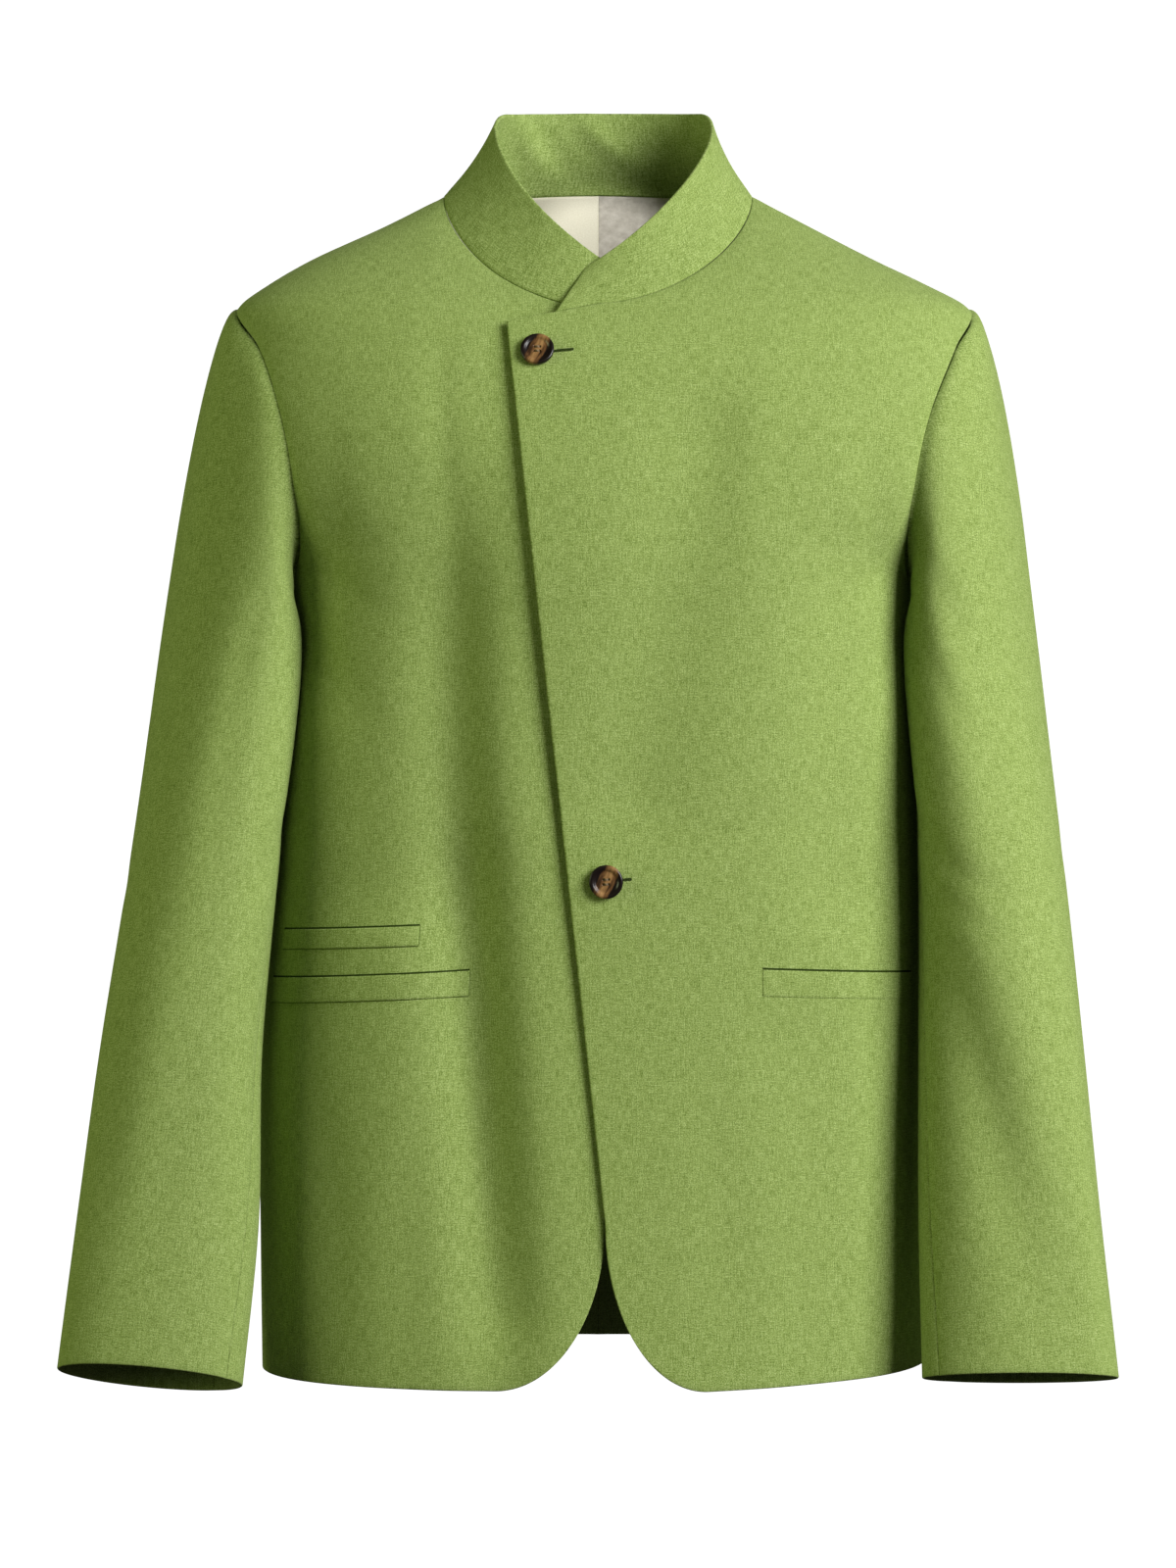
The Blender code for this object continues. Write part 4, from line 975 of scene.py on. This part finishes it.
def tube(paths, radius):
    """One mesh of round closed threads, each along a short path of points."""
    mesh = bmesh.new()
    turns = np.linspace(0, 2 * math.pi, THREAD_SIDES + 1)[:-1]
    for path in paths:
        tangents = unit(np.gradient(path, axis=0))
        helper = np.where(np.abs(tangents[:, 2:]) < THREAD_UPRIGHT, [[0.0, 0.0, 1.0]], [[1.0, 0.0, 0.0]])
        first = unit(np.cross(tangents, helper))
        second = np.cross(tangents, first)
        rings = []
        for point, one, two in zip(path, first, second):
            offsets = radius * (np.cos(turns)[:, None] * one + np.sin(turns)[:, None] * two)
            rings.append([mesh.verts.new(place) for place in point + offsets])
        for low, high in zip(rings, rings[1:]):
            for k in range(THREAD_SIDES):
                after = (k + 1) % THREAD_SIDES
                mesh.faces.new((low[k], low[after], high[after], high[k]))
        mesh.faces.new(rings[0][::-1])
        mesh.faces.new(rings[-1])
    bmesh.ops.recalc_face_normals(mesh, faces=mesh.faces)
    data = finished(mesh, "thread")
    data.shade_smooth()
    return data


def make_buttonholes():
    """Worked buttonholes: close stitches round a slit, with a fan of them at the outer end."""
    for hole in BUTTONHOLES:
        count = round((hole.end_x - hole.start_x) / STITCH_STEP)
        along = np.linspace(hole.start_x, hole.end_x, count + 1)
        stitches = [(x, 0.0, side) for x in along for side in (1, -1)]
        fan = np.linspace(-QUARTER, QUARTER, FAN_STITCHES + 2)[1:-1]
        stitches += [(hole.end_x, math.cos(turn), math.sin(turn)) for turn in fan]
        share, paths = np.linspace(0, 1, STITCH_POINTS), []
        for number, (x, run, rise) in enumerate(stitches):
            reach = STITCH_LENGTH * (1 + STITCH_UNEVEN * math.sin(STITCH_WAVE * number))
            away = SLIT_HALF + reach * share
            at_x = x + run * away
            at_z = hole.z + hole.slope * (x - hole.start_x) + rise * away
            points, normals = left_front_place(at_x, at_z)
            lift = STITCH_LIFT * np.sin(math.pi * (STITCH_LIFT_FROM + (1 - STITCH_LIFT_FROM) * share))
            paths.append(points + normals * lift[:, None])
        add_piece(hole.name, tube(paths, STITCH_RADIUS), materials["thread"], "wool_green")
        # The slit is a strip of painted shade, coloured with the pocket mouths' dark tones
        x, off = grid(np.linspace(hole.start_x, hole.end_x + SLIT_HALF, count + 1),
                      np.linspace(-SLIT_HALF, SLIT_HALF, SLIT_POINTS))
        points, normals = left_front_place(x, hole.z + hole.slope * (x - hole.start_x) + off)
        points = points + normals * SLIT_LIFT
        sewn = sewn_edges(x.shape, 0, 0, 0, 0)
        data = cloth_mesh(hole.name + "_slit", points, normals, SLIT_LIFT / 2, sewn, stacked(x, off))
        add_piece(hole.name + "_slit", data, materials["mouth"], "wool_green")


def turned_mesh(name, profile, steps):
    """Mesh turned from a profile of (radius, height) points that starts and ends on the axis."""
    mesh = bmesh.new()
    turns = np.linspace(0, 2 * math.pi, steps + 1)[:-1]
    top, bottom = (mesh.verts.new((0, 0, height)) for height in (profile[0][1], profile[-1][1]))
    rings = []
    for radius, height in profile[1:-1]:
        rings.append([mesh.verts.new((radius * math.cos(t), radius * math.sin(t), height)) for t in turns])
    for k in range(steps):
        after = (k + 1) % steps
        mesh.faces.new((top, rings[0][k], rings[0][after]))
        mesh.faces.new((bottom, rings[-1][after], rings[-1][k]))
        for high, low in zip(rings, rings[1:]):
            mesh.faces.new((high[k], low[k], low[after], high[after]))
    bmesh.ops.recalc_face_normals(mesh, faces=mesh.faces)
    return finished(mesh, name)


def drilled(data):
    """The button's mesh with its four thread holes cut through."""
    mesh = bmesh.new()
    for across in (-1, 1):
        for up in (-1, 1):
            pin = bmesh.ops.create_cone(mesh, cap_ends=True, segments=HOLE_STEPS, radius1=HOLE_RADIUS,
                                        radius2=HOLE_RADIUS, depth=HOLE_PIN_LENGTH)
            shift = Vector((across * HOLE_SPACING / 2, up * HOLE_SPACING / 2, 0))
            bmesh.ops.translate(mesh, verts=pin["verts"], vec=shift)
    button, pins = linked("blank", data), linked("pins", finished(mesh, "pins"))
    cut = button.modifiers.new("holes", "BOOLEAN")
    cut.operation = "DIFFERENCE"
    cut.solver = "EXACT"
    cut.object = pins
    bpy.context.view_layer.update()
    done = bpy.data.meshes.new_from_object(button.evaluated_get(bpy.context.evaluated_depsgraph_get()))
    for each in (button, pins):
        bpy.data.objects.remove(each, do_unlink=True)
    done.shade_smooth()
    return done


def make_buttons():
    """Turned buttons with a hollow face, four holes and the thread that sews them on."""
    knots = np.arange(len(BUTTON_PROFILE))
    at = np.linspace(0, knots[-1], BUTTON_RINGS)
    radius = np.maximum(smooth(knots, BUTTON_RADIUS * np.array([row[0] for row in BUTTON_PROFILE]), at), 0)
    height = smooth(knots, np.array([row[1] for row in BUTTON_PROFILE]), at)
    profile = list(zip(radius, height))
    for place in BUTTONS:
        points, normals = left_front_place(np.array([place.x]), np.array([place.z]))
        outward = Vector(normals[0])
        placed = outward.to_track_quat("Z", "Y").to_matrix().to_4x4()
        placed.translation = Vector(points[0]) + outward * place.gap
        data = drilled(turned_mesh(place.name + "_turned", profile, BUTTON_STEPS))
        button = add_piece(place.name + "_turned", data, materials["horn_brown"], "horn_brown", place.name)
        button.matrix_world = placed
        half, share = HOLE_SPACING / 2, np.linspace(0, 1, BUTTON_THREAD_POINTS)
        arch = np.sin(math.pi * share)
        lift = BUTTON_THREAD_RISE * arch - BUTTON_THREAD_SINK * (1 - arch)
        paths = []
        for up in (-1, 1):
            for strand in (-1, 1):
                y = np.full(len(share), up * half + strand * BUTTON_THREAD_RADIUS)
                paths.append(stacked(half * (2 * share - 1), y, BUTTON_FACE + lift))
        data = tube(paths, BUTTON_THREAD_RADIUS)
        thread = add_piece(place.name + "_thread", data, materials["button_thread"], "horn_brown")
        thread.matrix_world = placed


def blank_material(name, surface):
    """New material with its tree and its shader, whose sockets take the values of the surface."""
    material = bpy.data.materials.new(name)
    material.use_nodes = True
    shader = material.node_tree.nodes["Principled BSDF"]
    for socket, value in surface.items():
        shader.inputs[socket].default_value = value
    return material, material.node_tree, shader


def cloth_place(tree):
    node = tree.nodes.new("ShaderNodeUVMap")
    node.uv_map = "cloth"
    return node.outputs["UV"]


def noise(tree, place, grain):
    """Noise in grains of the given kind."""
    scale = tree.nodes.new("ShaderNodeVectorMath")
    scale.operation = "MULTIPLY"
    scale.inputs[1].default_value = (grain.across, grain.along, 1)
    tree.links.new(place, scale.inputs[0])
    node = tree.nodes.new("ShaderNodeTexNoise")
    node.inputs["Scale"].default_value = 1
    node.inputs["Detail"].default_value = grain.detail
    node.inputs["Roughness"].default_value = GRAIN_ROUGHNESS
    tree.links.new(scale.outputs[0], node.inputs["Vector"])
    return node.outputs["Fac"]


def mixed(tree, first, second, share):
    mix = tree.nodes.new("ShaderNodeMix")
    mix.inputs[0].default_value = share
    tree.links.new(first, mix.inputs[2])
    tree.links.new(second, mix.inputs[3])
    return mix.outputs[0]


def paint(tree, shader, value, tones):
    """Colour the shader by a value, through (position, colour) tones."""
    node = tree.nodes.new("ShaderNodeValToRGB")
    elements = node.color_ramp.elements
    while len(elements) < len(tones):
        elements.new(0.5)
    for element, (position, colour) in zip(elements, tones):
        element.position = position
        element.color = (*colour, 1)
    tree.links.new(value, node.inputs["Fac"])
    tree.links.new(node.outputs["Color"], shader.inputs["Base Color"])


def roughen(tree, shader, height, bump):
    node = tree.nodes.new("ShaderNodeBump")
    node.inputs["Strength"].default_value = bump.strength
    node.inputs["Distance"].default_value = bump.distance
    tree.links.new(height, node.inputs["Height"])
    tree.links.new(node.outputs["Normal"], shader.inputs["Normal"])


def make_wool():
    """Melange wool flannel: flecked fibres, faint upright streaks and level slubs, soft clouds and a nap."""
    material, tree, shader = blank_material("wool_flannel", WOOL_SURFACE)
    place = cloth_place(tree)
    fleck, streak, slub, cloud = (
        noise(tree, place, grain) for grain in (WOOL_FLECK, WOOL_STREAK, WOOL_SLUB, WOOL_CLOUD)
    )
    fibres = mixed(tree, mixed(tree, fleck, streak, STREAK_SHARE), slub, SLUB_SHARE)
    paint(tree, shader, mixed(tree, fibres, cloud, CLOUD_SHARE), WOOL_TONES)
    roughen(tree, shader, fibres, WOOL_BUMP)
    return material


def make_lining_cloth(name, tones, mottle):
    """Smooth lining cloth with a soft shine, woven grain and faint mottling."""
    material, tree, shader = blank_material(name, LINING_SURFACE)
    place = cloth_place(tree)
    weave = noise(tree, place, LINING_WEAVE)
    paint(tree, shader, mixed(tree, noise(tree, place, mottle), weave, WEAVE_SHARE), tones)
    roughen(tree, shader, weave, LINING_BUMP)
    return material


def make_horn():
    """Polished horn: nearly black, with an amber band across and fine streaks along it."""
    material, tree, shader = blank_material("horn", HORN_SURFACE)
    where = tree.nodes.new("ShaderNodeTexCoord").outputs["Object"]
    turn = tree.nodes.new("ShaderNodeVectorRotate")
    turn.inputs["Angle"].default_value = HORN_BAND_TURN
    tree.links.new(where, turn.inputs["Vector"])
    streaks = noise(tree, turn.outputs["Vector"], HORN_STREAKS)
    split = tree.nodes.new("ShaderNodeSeparateXYZ")
    tree.links.new(turn.outputs["Vector"], split.inputs[0])
    band = tree.nodes.new("ShaderNodeMath")
    band.operation = "MULTIPLY_ADD"
    band.inputs[1].default_value = 0.5 / BUTTON_RADIUS
    band.inputs[2].default_value = 0.5
    tree.links.new(split.outputs["X"], band.inputs[0])
    paint(tree, shader, mixed(tree, band.outputs[0], streaks, HORN_STREAK_SHARE), HORN_TONES)
    roughen(tree, shader, streaks, HORN_BUMP)
    return material


def make_thread(name, tones):
    """Sewing thread with a fine twist; the same maker also colours the painted shade strips of the pockets
    and buttonhole slits.
    """
    material, tree, shader = blank_material(name, THREAD_SURFACE)
    where = tree.nodes.new("ShaderNodeTexCoord").outputs["Object"]
    twist = noise(tree, where, THREAD_TWIST)
    paint(tree, shader, twist, tones)
    roughen(tree, shader, twist, THREAD_BUMP)
    return material


def make_stage():
    """White dome all round, so that every view has the same plain backdrop; it gives the cloth no light."""
    mesh = bmesh.new()
    bmesh.ops.create_uvsphere(
        mesh, u_segments=DOME_SEGMENTS, v_segments=DOME_SEGMENTS // 2, radius=DOME_RADIUS
    )
    bmesh.ops.reverse_faces(mesh, faces=mesh.faces)
    backdrop = linked("backdrop", finished(mesh, "backdrop"))
    backdrop.data.shade_smooth()
    backdrop.data.materials.append(blank_material("backdrop_white", BACKDROP_SURFACE)[0])
    backdrop.visible_diffuse = False
    backdrop.visible_glossy = False


def place_light(light, place, target):
    lamp = linked(light.name, light)
    lamp.location = place
    lamp.rotation_euler = (Vector(target) - Vector(place)).to_track_quat("-Z", "Y").to_euler()
    lamp.visible_camera = False


def make_lights():
    for lamp in LIGHTS:
        light = bpy.data.lights.new(lamp.name, "AREA")
        light.shape = "SQUARE"
        light.size = lamp.size
        light.energy = lamp.power
        light.color = lamp.colour
        place_light(light, lamp.place, lamp.target)
    snoot = bpy.data.lights.new("neck", "SPOT")
    snoot.energy = NECK_LIGHT_POWER
    snoot.shadow_soft_size = NECK_LIGHT_SIZE
    snoot.spot_size = NECK_LIGHT_CONE
    snoot.spot_blend = NECK_LIGHT_BLEND
    place_light(snoot, NECK_LIGHT_PLACE, NECK_LIGHT_TARGET)
    world = bpy.data.worlds.new("studio")
    bpy.context.scene.world = world
    world.use_nodes = True
    sky = world.node_tree.nodes["Background"].inputs
    sky["Color"].default_value = (1, 1, 1, 1)
    sky["Strength"].default_value = WORLD_LIGHT


def make_camera():
    """Level camera three metres in front; the view is 0.96 m tall at the body's middle."""
    data = bpy.data.cameras.new("camera")
    data.sensor_fit = "VERTICAL"
    data.sensor_height = CAMERA_SENSOR
    data.lens = CAMERA_LENS
    camera = linked("camera", data)
    camera.location = CAMERA_PLACE
    camera.rotation_euler = (QUARTER, 0, 0)
    bpy.context.scene.camera = camera


cloth, pocket_lines = {}, {}
materials = {
    "wool_green": make_wool(),
    "lining_cream": make_lining_cloth("lining_cream", CREAM_TONES, CREAM_MOTTLE),
    "lining_grey": make_lining_cloth("lining_grey", GREY_TONES, GREY_MOTTLE),
    "horn_brown": make_horn(),
    # Painted shade of the pocket mouths and buttonhole slits
    "mouth": make_thread("pocket_shadow", OPENING_SHADE_TONES),
    # Painted shade lines below the welts and at their inner ends
    "welt_seam": make_thread("welt_seam_shadow", WELT_SEAM_SHADE_TONES),
    "thread": make_thread("green_thread", THREAD_TONES),
    "button_thread": make_thread("brown_thread", BUTTON_THREAD_TONES),
}
make_camera()
make_fronts_and_backs()
make_sleeves()
make_collar()
make_lining()
make_welts()
make_buttonholes()
make_buttons()
make_stage()
make_lights()
bpy.context.scene.view_settings.view_transform = "Standard"
